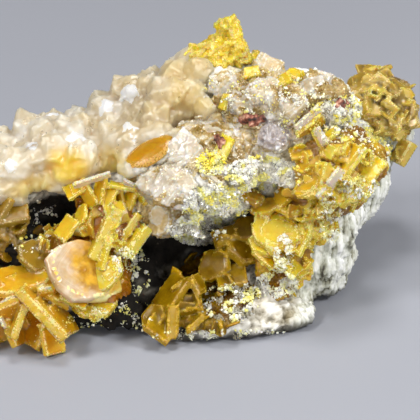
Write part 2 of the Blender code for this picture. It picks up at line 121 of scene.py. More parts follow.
def ringed(sides, rings):
    """A closed crystal: each ring is (half x, half y, height), in metres."""
    bm = bmesh.new()
    bm.verts.layers.float.new("tone")
    bm.verts.layers.int.new("crystal")
    corner = 1.0 / math.cos(math.pi / sides)
    verts = bmesh.ops.create_circle(bm, cap_ends=True, segments=sides, radius=1.0)["verts"]
    face = verts[0].link_faces[0]
    first = rings[0]
    size = Matrix.Diagonal((first[0] * corner, first[1] * corner, 1, 1))
    spin = Matrix.Rotation(math.pi / sides, 4, 'Z')
    bmesh.ops.transform(bm, matrix=Matrix.Translation((0, 0, first[2])) @ size @ spin, verts=verts)
    for before, ring in zip(rings, rings[1:]):
        grown = bmesh.ops.extrude_face_region(bm, geom=[face])["geom"]
        if before is not first:
            bmesh.ops.delete(bm, geom=[face], context='FACES_ONLY')
        face = next(g for g in grown if isinstance(g, bmesh.types.BMFace))
        size = Matrix.Diagonal((ring[0] / before[0], ring[1] / before[1], 1, 1))
        lift = Matrix.Translation((0, 0, ring[2] - before[2]))
        bmesh.ops.transform(bm, matrix=lift @ size, verts=face.verts)
    bmesh.ops.recalc_face_normals(bm, faces=bm.faces)
    # The order in which extruding makes the side faces varies from run to run, so they are put in order.
    bm.verts.index_update()
    bm.faces.sort(key=lambda f: sum(2 ** v.index for v in f.verts))
    return bm


def blade(length, width, thick, corners, rng, uneven=0.13):
    """A tabular crystal with narrow chamfers, whose outline is never quite regular. Sizes in mm."""
    x, y, h = length / 2 * MM, width / 2 * MM, thick / 2 * MM
    c = min(0.35 * h, 0.2 * min(x, y))
    bm = ringed(14 if corners >= 8 else corners,
                [(x - c, y - c, -h), (x, y, -h + c), (x, y, h - c), (x - c, y - c, h)])
    seed = Vector((rng.uniform(0, 99), rng.uniform(0, 99), 0))
    for v in bm.verts:
        way = Vector((v.co.x, v.co.y, 0)).normalized()
        v.co += way * noise.noise(way * 1.2 + seed) * 2 * uneven * min(x, y)
    return bm


def lens(length, width, thick):
    """A rounded blade, swollen in the middle. Sizes in mm."""
    x, y, h = length / 2 * MM, width / 2 * MM, thick / 2 * MM
    rings = [(0.3, -1.0), (0.7, -0.75), (0.93, -0.35), (1.0, 0.0), (0.93, 0.35), (0.7, 0.75), (0.3, 1.0)]
    return ringed(22, [(x * r, y * r, h * z) for r, z in rings])


def stub(width, height, sides, rng):
    """A stubby crystal with a steep, slightly blunted end. Sizes in mm."""
    w, h = width / 2 * MM, height / 2 * MM
    flat = rng.uniform(0.6, 0.95)
    waist = rng.uniform(-0.2, 0.3)
    return ringed(sides, [(0.85 * w, 0.85 * w * flat, -h), (w, w * flat, waist * h),
                          (0.18 * w, 0.2 * w * flat, h)])


class Growth:
    """Collects crystals in one mesh, each with its own tone, and remembers how each one lies."""

    def __init__(self):
        self.bm = bmesh.new()
        self.bm.verts.layers.float.new("tone")
        self.bm.verts.layers.int.new("crystal")
        self.lies = []

    def add(self, crystal, placing, tone, keep=False):
        layer, which = crystal.verts.layers.float["tone"], crystal.verts.layers.int["crystal"]
        for v in crystal.verts:
            v[layer] = tone
            v[which] = len(self.lies)
        half = [max(abs(v.co[k]) for v in crystal.verts) for k in range(3)]
        self.lies.append((placing.inverted(), half))
        self.take(crystal, placing)
        if not keep:
            crystal.free()

    def take(self, bm, placing):
        """Copies what the bmesh has into the growth."""
        mesh = bpy.data.meshes.new("copy")
        bm.to_mesh(mesh)
        mesh.transform(placing)
        self.bm.from_mesh(mesh)
        bpy.data.meshes.remove(mesh)

    @property
    def crystals(self):
        return len(self.lies)


def object_of(name, bm):
    """An object at the origin that holds what the bmesh has."""
    mesh = bpy.data.meshes.new(name)
    bm.to_mesh(mesh)
    bm.free()
    made = bpy.data.objects.new(name, mesh)
    scene.collection.objects.link(made)
    return made


trial = stub(1.0, 1.4, 5, random.Random(1))
print("a stub drawn through 3 rings has", len(trial.faces), "faces")
trial.free()

# %% [markdown]
# ## One closed skin for each growth
# Crystals that are grown together overlap. Left as they are, they hide walls inside one another, and light
# that should wander through the clear crystal stops at each of them. A voxel remesh turns the whole growth
# into one closed skin, fine enough to keep the edges. It forgets which crystal was which, so each point of
# the skin asks the nearest one again: its tone, whether the point is on a narrow side (`side`) or a chamfer
# (`rim`), and how far out it is on the face (`zone`), because wulfenite grows in thin steps. A last number,
# `crevice`, is worked out from the skin itself: it is high between crystals, and the finishes paint shade
# there with it.

# %% Fusing a growth
BASE = -1.0     # the tone that marks the footing under the crystals
JOINED = 0.002  # mm, corners closer than this are one


def merged_copy(node):
    """A bmesh of a solid, with its loose triangles joined at their corners."""
    bm = bmesh.new()
    bm.from_mesh(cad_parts[node].data)
    bmesh.ops.remove_doubles(bm, verts=bm.verts, dist=JOINED * MM)
    return bm


def fine_skin(name, bm, voxel):
    """The bmesh as an object, remeshed evenly at a voxel size in mm."""
    made = object_of(name, bm)
    remesh = made.modifiers.new("skin", 'REMESH')
    remesh.mode = 'VOXEL'
    remesh.voxel_size = voxel * MM
    graph = bpy.context.evaluated_depsgraph_get()
    mesh = bpy.data.meshes.new_from_object(made.evaluated_get(graph))
    made.modifiers.clear()
    made.data = mesh
    return made


def relax(bm, factor):
    """Moves every point part of the way to the middle of its neighbours."""
    bmesh.ops.smooth_vert(bm, verts=bm.verts, factor=factor, use_axis_x=True, use_axis_y=True, use_axis_z=True)


def eased(low, high, value):
    """0 below low, 1 above high, and a smooth rise between."""
    t = min(1.0, max(0.0, (value - low) / (high - low)))
    return t * t * (3 - 2 * t)


def ridges(at, octaves=4):
    """Sharp crests: noise folded at its zero, at ever finer sizes."""
    total, height = 0.0, 1.0
    for _ in range(octaves):
        total += height * (0.5 - abs(noise.noise(at)))
        at = at * 2.1 + Vector((7.3, 1.9, 4.1))
        height *= 0.55
    return total


def footing(growth, node, shrink):
    """Adds the solid that the growth stands for, drawn in a little, as the growth's footing."""
    bm = merged_copy(node)
    layer, which = bm.verts.layers.float.new("tone"), bm.verts.layers.int.new("crystal")
    bm.normal_update()
    for v in bm.verts:
        v.co -= v.normal * shrink * MM
        v[layer], v[which] = BASE, -1
    growth.take(bm, Matrix.Identity(4))
    bm.free()


def surroundings(bm, rounds=24):
    """How far the mean of each point's wide surroundings stands above it, in mm."""
    here = np.array([v.co for v in bm.verts])
    normals = np.array([v.normal for v in bm.verts])
    ends = np.array([[v.index for v in e.verts] for e in bm.edges])
    one, other = ends[:, 0], ends[:, 1]
    links = np.bincount(ends.ravel(), minlength=len(here))[:, None]
    soft = here
    for _ in range(rounds):
        total = [np.bincount(one, soft[other, k], len(here)) + np.bincount(other, soft[one, k], len(here))
                 for k in range(3)]
        soft = 0.5 * soft + 0.5 * np.stack(total, axis=1) / links
    return ((soft - here) * normals).sum(axis=1) / MM


def fused(name, growth, voxel, grit=0.2, crisp=28, chips=0.0, ground=0.1):
    """The growth as one closed skin that knows its crystals. The footing has the tone `ground` and gets grit,
    and the crystals get chips, both in mm. Edges steeper than `crisp` degrees stay sharp."""
    source = growth.bm
    layer, which = source.verts.layers.float["tone"], source.verts.layers.int["crystal"]
    source.faces.ensure_lookup_table()
    tree = BVHTree.FromBMesh(source)
    made = fine_skin(name, source.copy(), voxel)
    bm = bmesh.new()
    bm.from_mesh(made.data)
    relax(bm, 0.4)
    tone, rim, side, zone, crevice = (bm.verts.layers.float.new(key) for key in
                                      ("tone", "rim", "side", "zone", "crevice"))
    bm.normal_update()
    for v, depth in zip(bm.verts, surroundings(bm)):
        v[crevice] = depth
        face = source.faces[tree.find_nearest(v.co)[2]]
        own, crystal = face.verts[0][layer], face.verts[0][which]
        at = v.co / MM
        if own == BASE:
            v[tone] = ground + 0.9 * noise.noise(at * 0.5)
            v.co += v.normal * grit * MM * (1.6 * ridges(at * 1.4, 3) - 0.6)
        else:
            back, half = growth.lies[crystal]
            flat = abs((back.to_3x3() @ face.normal).normalized().z)
            q = back @ v.co
            out = ((q.x / half[0]) ** 4 + (q.y / half[1]) ** 4) ** 0.25
            v[tone] = own
            v[side] = 1 - eased(0.2, 0.6, flat)
            v[rim] = eased(0.3, 0.5, flat) - eased(0.85, 0.97, flat)
            v[zone] = out if flat > 0.5 else 2 + 0.4 * q.z / half[2]
            if chips:
                v.co += v.normal * chips * MM * (2 * ridges(at * 1.1, 3) - 1.1)
        v.co.z = max(v.co.z, 0.0)
    source.free()
    for face in bm.faces:
        face.smooth = True
    print(f"{name}: {growth.crystals} crystals in one skin of {2 * len(bm.faces)} triangles")
    bm.to_mesh(made.data)
    bm.free()
    if crisp:
        made.data.set_sharp_from_angle(angle=math.radians(crisp))
    return made


print("the rock's solid has", len(merged_copy("matrix").verts), "corners once they are joined")

# %% [markdown]
# ## The limestone
# The rock is broken, pitted and bedded. Displacing the solid with a texture would leave its big facets
# showing, so a copy of the solid is first turned into an even fine skin and relaxed, and then roughened
# point by point: wide lumps, sharp little ridges, pits, and upright streaks on the right-hand wall, as on
# the real piece. The height of each point is kept as `relief`, because the finish makes the rock darker in
# the pits and paler on the crests.

# %% A fine skin of rock


def limestone():
    rock = fine_skin("limestone", merged_copy("matrix"), 0.28)
    bm = bmesh.new()
    bm.from_mesh(rock.data)
    for _ in range(3):
        relax(bm, 0.5)
    bm.normal_update()
    kept = bm.verts.layers.float.new("relief")
    for v in bm.verts:
        at = v.co / MM
        wall = eased(9, 13, at.x) * eased(0.2, 0.7, abs(v.normal.x) + 0.6 * abs(v.normal.y))
        streaks = ridges(Vector((at.x * 1.8, at.y * 1.8, at.z * 0.3)), 4)
        lumps = noise.fractal(at * 0.32, 0.8, 2.2, 5) + 0.4 * noise.fractal(at * 1.1, 0.6, 2.1, 4)
        rough = 0.55 * lumps + 0.22 * ridges(at * 1.7 + Vector((3, 8, 1)), 3) - 0.12
        relief = (1 - wall) * rough + wall * (0.65 * streaks - 0.3 + 0.4 * rough)
        relief *= 1.2 * eased(0.0, 1.2, at.z)
        v[kept] = relief
        v.co += v.normal * relief * MM
        v.co.z = max(v.co.z, 0.0)
    for face in bm.faces:
        face.smooth = True
    print("limestone:", 2 * len(bm.faces), "triangles")
    bm.to_mesh(rock.data)
    bm.free()
    return rock


rock = limestone()

# %% [markdown]
# ## Growing rows and sowing the rest
# Each blade that can be told apart on the real piece has a row of its own: across, up, out (mm), the
# angle of its long side, how far its face is opened (degrees), length, width, thickness (mm), corners,
# and a tone from deep orange (0) to bright yellow (1). A tone of 1.5 or more paints a small blade nearly
# white, as a painted glint. Where a growth follows the rock, its rows give how far a plate stands out of the
# rock in place of out. Small blades fill in between the rows: they are sown with a seeded random number,
# because their exact places don't matter.

# %% The helpers that grow and sow
rng = random.Random(11)


def skin_of(*objects):
    """Something to cast rays at, made of the objects' faces."""
    bm = bmesh.new()
    for obj in objects:
        bm.from_mesh(obj.data)
    tree = BVHTree.FromBMesh(bm)
    bm.free()
    return tree


solid_rock = skin_of(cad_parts["matrix"])


def within(tone):
    return min(1.0, max(0.0, tone))


def stacked(growth, placing, length, width, thick, corners, tone):
    """A blade that may have a step grown parallel on its face, with glitter along its rim."""
    growth.add(blade(length, width, thick, corners, rng), placing, tone)
    for _ in range(rng.randint(0, 1)):
        part = rng.uniform(0.55, 0.9)
        shift = Vector((rng.uniform(-0.14, 0.14) * length, rng.uniform(-0.14, 0.14) * width,
                        rng.choice((-1, 1)) * rng.uniform(0.2, 0.4) * thick)) * MM
        step = blade(length * part, width * part, thick * 0.7, corners, rng)
        aside = rng.uniform(-0.1, 0.15)
        growth.add(step, placing @ Matrix.Translation(shift), tone if tone > 1 else within(tone + aside))
    for _ in range(int(2.2 * (length + width))):
        angle = rng.uniform(0, math.tau)
        edge = max(abs(math.cos(angle)), abs(math.sin(angle))) if corners == 4 else 1.0
        at = Vector((math.cos(angle) / edge * length / 2, math.sin(angle) / edge * width / 2,
                     rng.choice((-1, 1)) * thick * 0.42)) * 0.97 * MM
        growth.add(stub(rng.uniform(0.2, 0.5), rng.uniform(0.2, 0.45), 4, rng),
                   standing(placing @ at, placing.to_3x3() @ at.normalized(), rng, 0.8), 1.0)


def grow_rows(growth, rows, target=None, sheaf=1):
    """The blades that have a row each, or a sheaf of a few at slightly different angles for each row. With a
    target, `out` counts from its surface."""
    for across, up, out, line, opened, length, width, thick, corners, tone in rows:
        place = spot(across, up, out)
        if target:
            place = target.ray_cast(spot(across, up, FAR), -OUT)[0] + OUT * out * MM
        stacked(growth, laid(place, line, opened), length, width, thick, corners, tone)
        for _ in range(sheaf - 1):
            aside = Vector([rng.uniform(-0.22, 0.22) * length * MM for _ in range(3)])
            part = rng.uniform(0.6, 0.95)
            stacked(growth, laid(place + aside, line + rng.gauss(0, 16), opened + rng.gauss(0, 18)),
                    length * part, width * part, thick, corners, within(tone + rng.gauss(0, 0.2)))


def meet(target, across, up, way=OUT, spread=0.3):
    """Where a slightly strayed ray meets a surface, near the spot that a straight one along `way` meets."""
    straight = target.ray_cast(spot(across, up, FRONT) + way * FAR * MM, -way)[0]
    if straight is None:
        return None, None
    look = (-way + spread * Vector([rng.uniform(-1, 1) for _ in range(3)])).normalized()
    return target.ray_cast(straight - look * 2 * MM, look)[:2]


def sow(growth, target, middle, half, count, make, tones, stray=0.5, sink=0.2, way=OUT):
    """Small crystals on a surface, within an ellipse on the front (mm)."""
    for _ in range(count):
        angle, reach = rng.uniform(0, math.tau), math.sqrt(rng.random())
        place, normal = meet(target, middle[0] + half[0] * reach * math.cos(angle),
                             middle[1] + half[1] * reach * math.sin(angle), way)
        if place is None:
            continue
        crystal, size, tilt = make()
        placing = standing(place - normal * sink * size * MM, normal, rng, stray) @ tilt
        growth.add(crystal, placing, rng.uniform(*tones))


def small_blade(low, high, slim=(0.16, 0.26)):
    def make():
        size = rng.uniform(low, high)
        tilt = Matrix.Rotation(math.radians(rng.uniform(25, 80)), 4, 'X')
        return blade(size, size * rng.uniform(0.75, 1), size * rng.uniform(*slim), rng.choice((4, 4, 6, 8)),
                     rng), size, tilt
    return make


def small_stub(low, high):
    def make():
        size = rng.uniform(low, high)
        return stub(size, size * rng.uniform(0.9, 1.5), rng.choice((4, 5, 6)), rng), size, Matrix.Identity(4)
    return make


print("looking in from", FAR, "mm, the middle of the rock lies at",
      [round(c / MM, 1) for c in solid_rock.ray_cast(spot(0, 12, FAR), -OUT)[0]], "mm")

# %% [markdown]
# ## The amber fan on the left
# Thick plates fan out of the lower left end. Beside them lies a rounded, dished blade like a shell, paler
# than the rest, and between it and the main hollow stand bright yellow blades, with narrow amber ones above
# them. The fan, the upright blades and the shell are fused one by one, so that each keeps its own finish.

# %% The left-hand blades
# The four small rows of tone 1.50 are painted nearly white: painted glints.
LEFT_BLADES = (
    (-18.9, -0.4, 11.5, -47, 8, 8.2, 6.0, 1.3, 4, 0.55),
    (-22.1, -1.4, 11.4, 70, 10, 4.2, 4.5, 1.0, 4, 0.60),
    (-23.4, -1.4, 10.8, 20, -50, 4.5, 5.0, 1.0, 4, 0.25),
    (-20.1, -1.8, 9.8, 60, 60, 5.0, 4.5, 1.0, 4, 0.15),
    (-18.0, -3.4, 11.2, -80, 50, 4.0, 3.0, 1.0, 4, 0.55),
    (-22.4, -2.8, 10.6, -70, 30, 3.4, 3.0, 1.0, 4, 0.25),
    (-18.6, 2.0, 11.0, 10, -30, 2.2, 2.8, 0.9, 4, 0.50),
    (-22.4, 3.2, 9.6, 5, 35, 7.5, 5.5, 1.1, 8, 0.55),
    (-20.4, 6.2, 8.2, -35, 50, 4.2, 3.6, 1.0, 6, 0.55),
    (-17.0, -1.2, 11.0, -60, 25, 4.2, 4.0, 1.0, 4, 0.40),
    (-23.6, 10.4, 6.0, -20, 35, 4.6, 4.0, 1.0, 4, -0.40),
    (-22.8, 11.3, 7.6, 10, 50, 3.8, 3.0, 1.0, 4, 0.10),
    (-24.4, 11.9, 7.6, 60, 40, 3.4, 2.8, 0.9, 4, 0.20),
    (-17.2, 2.0, 10.2, -30, 40, 4.0, 3.6, 1.0, 4, 0.20),
    (-25.9, -1.2, 10.2, 60, 20, 5.0, 4.5, 1.1, 4, 0.35),
    (-28.6, 0.8, 9.0, -50, 30, 6.0, 5.0, 1.2, 4, 0.30),
    (-30.6, 3.8, 7.5, 20, 40, 5.5, 5.0, 1.1, 4, 0.45),
    (-27.4, 5.4, 8.0, -10, 50, 5.0, 4.5, 1.0, 4, 0.30),
    (-31.2, 7.8, 5.2, 60, 30, 5.0, 4.5, 1.1, 4, 0.40),
    (-13.0, 0.4, 10.2, 5, 50, 5.0, 3.6, 1.0, 6, 0.70),
    (-23.2, 1.0, 11.6, 22, -30, 1.8, 1.0, 0.3, 4, 1.50),
    (-18.8, 2.3, 12.0, 5, -40, 1.5, 0.9, 0.3, 4, 1.50),
    (-17.9, -0.6, 12.2, -50, 20, 1.4, 0.9, 0.3, 4, 1.50),
    (-23.8, -1.6, 12.0, -60, 20, 1.4, 0.9, 0.3, 4, 1.50),
    (-15.2, 1.4, 11.4, -25, 45, 3.4, 2.8, 0.6, 4, 0.80),
    (-16.4, 9.6, 9.0, 55, 45, 3.0, 2.6, 0.5, 4, 0.75),
    (-14.6, 11.2, 9.2, 70, 30, 2.6, 2.2, 0.5, 6, 0.90),
)
left = Growth()
footing(left, "left_wulfenite", 0.7)
grow_rows(left, LEFT_BLADES)
left_skin = skin_of(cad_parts["left_wulfenite"])
sow(left, left_skin, (-13, -1.0), (4, 1.6), 26, small_blade(0.6, 1.6), (0.6, 1.0), sink=0.2)
sow(left, left_skin, (-17, 9.6), (3.6, 2.6), 40, small_blade(0.8, 2.0), (0.1, 0.8), sink=0.1)
sow(left, left_skin, (-22.5, 10), (3, 2), 16, small_blade(0.8, 2.0), (-0.4, 0.2), sink=0.1)
sow(left, left_skin, (-28, 4), (5, 6), 22, small_blade(1.6, 3.0), (0.1, 0.6), sink=0.3)
sow(left, skin_of(rock), (-19.6, 7.6), (3.2, 1.4), 20, small_blade(0.8, 2.2), (-0.4, 0.1), sink=0.1)
left_blades = fused("left_blades", left, 0.16, chips=0.03, ground=-0.2)

# %% The upright blades
UPRIGHT_BLADES = (
    (-11.7, 9.0, 9.9, 65, 12, 6.8, 3.4, 1.6, 4, 0.90),
    (-10.4, 11.4, 9.8, 15, 40, 2.6, 2.4, 1.8, 4, 0.85),
    (-11.3, 4.2, 11.6, 62, 58, 4.6, 3.2, 0.9, 8, 1.00),
    (-12.0, 6.4, 11.2, 75, 30, 3.4, 2.4, 0.6, 4, 0.95),
    (-8.1, 8.2, 9.8, 55, 25, 4.4, 3.0, 1.3, 4, 0.90),
    (-8.9, 9.8, 9.2, 55, 10, 4.0, 3.0, 1.0, 4, 0.55),
    (-14.4, 10.1, 8.4, 40, 40, 3.0, 2.6, 1.4, 6, 0.60),
)
# The two thin rows of tone 1.60 are painted nearly white: painted glints.
AMBER_BLADES = (
    (-13.3, 15.4, 10.0, 18, -24, 4.6, 1.2, 0.45, 4, 1.60),
    (-8.2, 14.7, 10.0, -26, -20, 3.0, 0.9, 0.45, 4, 1.60),
    (-12.4, 14.0, 9.0, 78, 35, 3.2, 2.0, 0.6, 4, 0.30),
    (-11.2, 13.6, 9.2, 60, 50, 2.8, 1.8, 0.5, 4, 0.65),
    (-10.0, 13.4, 9.0, 100, 30, 3.0, 1.8, 0.5, 4, 0.10),
    (-8.8, 13.0, 9.2, 70, 45, 3.0, 1.8, 0.5, 4, 0.50),
    (-7.6, 13.4, 9.2, 115, 40, 2.6, 1.6, 0.5, 4, 0.25),
    (-13.8, 13.4, 8.8, 120, 45, 2.8, 2.0, 0.5, 4, 0.50),
    (-15.2, 14.4, 8.6, 30, 50, 3.0, 2.2, 0.5, 4, 0.60),
    (-12.0, 12.2, 8.6, 24, 60, 3.0, 2.0, 0.5, 4, 0.25),
    (-9.6, 14.6, 9.4, -10, 20, 3.4, 1.6, 0.5, 4, 0.75),
)
upright = Growth()
grow_rows(upright, UPRIGHT_BLADES)
grow_rows(upright, AMBER_BLADES)
sow(upright, left_skin, (-10.2, 8), (1.8, 5), 22, small_blade(0.8, 2.0), (0.75, 1.0), sink=0.2)
upright_blades = fused("upright_blades", upright, 0.13, chips=0.03)

# %% [markdown]
# ## The shell
# The dished plate is three rounded blades that lie on one another like the layers of an oyster shell, each
# a little narrower and set back. Small crystals line the lower edge of each: they are spread along the part
# of its outline that faces down.

# %% Three layers and their edges
SHELL_ROWS = (
    (-14.3, 4.7, 11.0, -35, 60, 8.2, 7.2, 1.1, 0.5),
    (-14.5, 3.9, 10.2, -28, 50, 8.4, 6.6, 1.0, 0.9),
    (-13.8, 3.2, 9.6, -15, 42, 7.6, 6.0, 1.0, 1.0),
)
EDGE_CRYSTALS = 90
shell = Growth()
for across, up, out, line, opened, length, width, thick, tone in SHELL_ROWS:
    lies = laid(spot(across, up, out), line, opened)
    shell.add(blade(length, width, thick, 14, rng, 0.2), lies, tone)
    for _ in range(EDGE_CRYSTALS):
        angle = rng.uniform(math.pi, 1.95 * math.pi)
        at = lies @ (Vector((length / 2 * math.cos(angle), width / 2 * math.sin(angle),
                             rng.uniform(-0.5, 0.5) * thick)) * 0.96 * MM)
        shell.add(stub(rng.uniform(0.3, 0.6), rng.uniform(0.3, 0.6), 4, rng),
                  standing(at, OUT, rng, 1.0), 1.0)
shell_blade = fused("shell_blade", shell, 0.14, crisp=40, chips=0.03)

# %% [markdown]
# ## The golden plates on the right
# Thinner plates run down the right-hand side, from the shoulder to the main hollow. They follow the rock,
# so their rows count from its surface. Between them hundreds of small blades are sown, close together,
# because on the real piece no bare rock shows there.

# %% The right-hand blades
# The four rows of tone 1.60 are painted nearly white: painted glints.
RIGHT_BLADES = (
    (12.8, 21.6, 1.4, 40, -20, 4.0, 3.2, 0.7, 4, 0.45),
    (12.4, 22.6, 3.0, 41, -50, 3.8, 1.3, 0.45, 4, 1.60),
    (13.8, 20.4, 1.3, -60, 20, 2.4, 2.4, 0.6, 4, 0.80),
    (15.2, 20.8, 1.5, 40, 25, 2.2, 2.0, 0.6, 4, 0.95),
    (15.6, 19.0, 1.0, -10, 55, 3.6, 3.2, 0.6, 4, 0.25),
    (17.2, 18.2, 1.2, 55, 30, 3.4, 3.0, 0.6, 4, 0.45),
    (19.4, 16.6, 1.6, 50, 60, 4.4, 3.6, 0.6, 4, 1.00),
    (18.2, 17.6, 1.8, 52, 5, 3.8, 3.0, 0.6, 4, 0.95),
    (20.2, 19.4, 1.3, -50, 40, 3.2, 2.8, 0.6, 4, 0.95),
    (21.4, 17.0, 1.2, 40, 55, 2.2, 2.0, 0.6, 10, 0.75),
    (21.6, 18.8, 1.2, 20, 30, 2.8, 2.4, 0.6, 4, 0.90),
    (9.8, 13.8, 1.8, 62, 42, 3.6, 2.8, 0.7, 12, 0.35),
    (12.4, 14.6, 1.6, 35, 40, 3.6, 2.8, 0.7, 12, 0.45),
    (15.6, 15.7, 3.3, 52, -40, 2.4, 1.3, 0.5, 4, 1.60),
    (14.6, 14.2, 3.4, 48, -40, 2.8, 1.4, 0.5, 4, 1.60),
    (14.0, 20.6, 2.8, -58, -40, 2.3, 1.1, 0.5, 4, 1.60),
    (7.4, 12.2, 1.4, 20, 40, 3.6, 2.8, 0.6, 10, 0.20),
    (5.8, 13.4, 1.0, -20, 50, 2.8, 2.2, 0.6, 6, 0.10),
    (13.8, 15.8, 1.3, 78, 25, 3.2, 2.4, 0.5, 4, 0.75),
    (14.0, 12.6, 1.2, 58, 30, 3.8, 3.2, 0.6, 4, 0.60),
    (10.4, 11.8, 1.6, -5, 20, 3.0, 2.6, 0.6, 6, 0.50),
    (8.6, 9.2, 1.9, -14, 66, 6.2, 4.6, 0.8, 12, 0.80),
    (7.2, 7.6, 1.8, -20, 50, 3.6, 2.6, 0.6, 6, 0.75),
    (9.6, 6.2, 1.8, -50, 24, 5.6, 4.0, 0.7, 4, 0.95),
    (7.6, 6.4, 1.4, -40, 45, 3.4, 3.0, 0.6, 4, 0.60),
    (11.6, 8.2, 1.4, 62, 40, 3.4, 2.8, 0.6, 4, 0.85),
    (11.4, 5.2, 1.2, -60, 40, 3.0, 2.6, 0.6, 4, 0.75),
    (12.6, 17.4, 1.0, 25, 45, 2.8, 2.4, 0.6, 4, 0.15),
    (17.6, 14.6, 1.2, 35, 50, 3.2, 2.8, 0.6, 4, 0.95),
    (15.8, 13.2, 1.2, 10, 45, 2.8, 2.4, 0.6, 4, 0.75),
    (12.4, 10.4, 1.4, 75, 30, 3.0, 2.6, 0.6, 4, 0.65),
    (16.8, 16.2, 1.3, -35, 35, 3.0, 2.6, 0.5, 4, 0.55),
    (11.6, 18.6, 0.9, 10, 40, 2.6, 2.2, 0.6, 4, 0.20),
    (19.4, 14.4, 1.0, 60, 40, 3.0, 2.6, 0.6, 4, 0.90),
)
right = Growth()
footing(right, "right_wulfenite", 0.8)
grow_rows(right, RIGHT_BLADES, solid_rock)
right_skin = skin_of(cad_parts["right_wulfenite"])
RIGHT_SOWN = (
    ((18, 17), (4, 4), 30, (0.8, 2.0), (0.6, 1.0)),
    ((14.2, 11.2), (2.4, 3.4), 60, (0.7, 1.9), (0.5, 1.0)),
    ((17.5, 14.4), (3.0, 2.0), 50, (0.7, 1.9), (0.6, 1.0)),
    ((11.6, 6.2), (2.6, 4.6), 60, (0.7, 1.8), (0.4, 1.0)),
    ((13, 13), (6, 7), 60, (0.7, 2.0), (0.1, 0.9)),
)
for middle, half, count, sizes, tones in RIGHT_SOWN:
    sow(right, right_skin, middle, half, count, small_blade(*sizes), tones, sink=0.1)
right_blades = fused("right_blades", right, 0.14, chips=0.05, ground=-0.2)

# %% [markdown]
# ## The crust in the hollow
# Amber crystals line the floor and the right of the main hollow. They are thicker than the plates outside
# and stand in deep shade. They are one crust on the real piece, and one skin here.

# %% The blades in the hollow
HOLLOW_BLADES = (
    (-3.8, -1.6, 9.0, 88, 5, 4.1, 3.2, 1.3, 4, 0.55),
    (-5.2, -2.5, 9.7, -35, 45, 3.6, 3.0, 1.0, 4, 0.55),
    (-5.9, -1.0, 8.6, 50, 55, 3.2, 3.0, 1.0, 6, 0.40),
    (-3.8, 1.8, 7.6, 55, 40, 5.0, 3.6, 1.0, 4, 0.35),
    (1.3, 5.2, 6.4, 60, 55, 4.2, 3.8, 1.0, 10, 0.30),
    (-1.7, 0.6, 8.0, 10, 50, 3.2, 3.0, 1.1, 4, 0.20),
    (-0.8, 2.8, 7.6, -60, 25, 2.6, 2.4, 0.8, 4, 0.45),
    (-1.0, -1.7, 9.0, 45, 10, 2.8, 2.4, 0.8, 4, 0.50),
    (2.9, 8.4, 5.6, 20, 35, 2.8, 2.6, 2.0, 4, 0.20),
    (4.6, 7.0, 6.2, -40, 50, 4.2, 3.6, 1.1, 6, 0.25),
    (5.6, 9.6, 5.8, 20, 55, 4.2, 3.6, 1.1, 8, 0.25),
    (3.4, 3.8, 7.2, 10, 50, 3.6, 3.2, 1.0, 4, 0.30),
)
hollow = Growth()
footing(hollow, "hollow_wulfenite", 0.6)
grow_rows(hollow, HOLLOW_BLADES)
hollow_skin = skin_of(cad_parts["hollow_wulfenite"])
sow(hollow, hollow_skin, (1, 3), (7, 6), 40, small_blade(0.8, 2.2), (0.0, 0.7), sink=0.15)
hollow_blades = fused("hollow_blades", hollow, 0.15)

# %% [markdown]
# ## The summit, the lens and the back lobe
# Three growths stand apart from the others. The yellow peak is rough and broken, so its skin gets the
# coarsest chips. A single lens-shaped blade lies half sunk in the calcite: it is drawn up through seven
# rings, with no sharp edge. The lump behind at the right is covered with small blades, sown all over it.

# %% The summit
SUMMIT_BLADES = (
    (3.6, 32.2, 2.0, 110, 25, 6.2, 4.2, 1.7, 4, 0.85),
    (1.2, 31.4, 2.2, 33, 30, 4.8, 4.0, 1.5, 4, 0.70),
    (-1.0, 30.6, 2.6, 70, 40, 2.6, 2.2, 1.2, 4, 0.75),
    (4.8, 30.2, 2.4, -60, 45, 3.2, 2.8, 1.3, 4, 0.30),
    (2.2, 30.2, 3.0, 0, 50, 3.4, 3.0, 1.3, 6, 0.65),
    (3.0, 31.0, 0.4, 60, 20, 4.6, 4.0, 1.4, 4, 0.60),
    (7.0, 29.6, 1.4, -35, 35, 3.2, 2.8, 1.1, 4, 0.50),
)
summit = Growth()
footing(summit, "summit_wulfenite", 0.1)
grow_rows(summit, SUMMIT_BLADES)
summit_skin = skin_of(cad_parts["summit_wulfenite"])
sow(summit, summit_skin, (3, 31), (6, 4), 60, small_stub(0.8, 1.8), (0.4, 1.0), 0.9, 0.2)
summit_blades = fused("summit_blades", summit, 0.15, chips=0.25)

# %% The lens
LENS_SPOT, LENS_LIES = (-6.3, 18.7), (29, 46)
sunk = Growth()
sunk.add(lens(6.8, 3.9, 1.5), laid(spot(*LENS_SPOT, 10.0), *LENS_LIES), 0.35)
lens_blade = fused("lens_blade", sunk, 0.14, crisp=0)

# %% The back lobe
LOBE_BLADES = (
    (19.6, 27.4, -8.4, 30, 40, 3.6, 3.2, 1.6, 6, 0.30),
    (23.8, 26.6, -8.8, -40, 45, 3.6, 3.0, 1.6, 6, 0.25),
    (22.8, 22.8, -7.0, 10, 50, 4.2, 3.4, 1.6, 6, 0.30),
    (24.8, 19.0, -8.2, 60, 35, 3.2, 2.8, 1.4, 4, 0.50),
    (21.6, 28.6, -11.0, -10, 30, 4.0, 3.4, 1.6, 6, 0.40),
    (25.4, 23.4, -11.0, 70, 20, 4.0, 3.4, 1.6, 4, 0.30),
    (20.2, 24.4, -7.0, -20, 50, 3.2, 2.8, 1.2, 4, 0.35),
)
lobe = Growth()
footing(lobe, "lobe_wulfenite", 0.25)
grow_rows(lobe, LOBE_BLADES)
lobe_skin = skin_of(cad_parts["lobe_wulfenite"])
sow(lobe, lobe_skin, (22, 24), (6, 6), 110, small_blade(1.0, 2.4), (0.0, 1.0), 0.8, 0.1)
lobe_blades = fused("lobe_blades", lobe, 0.18, grit=0.4)
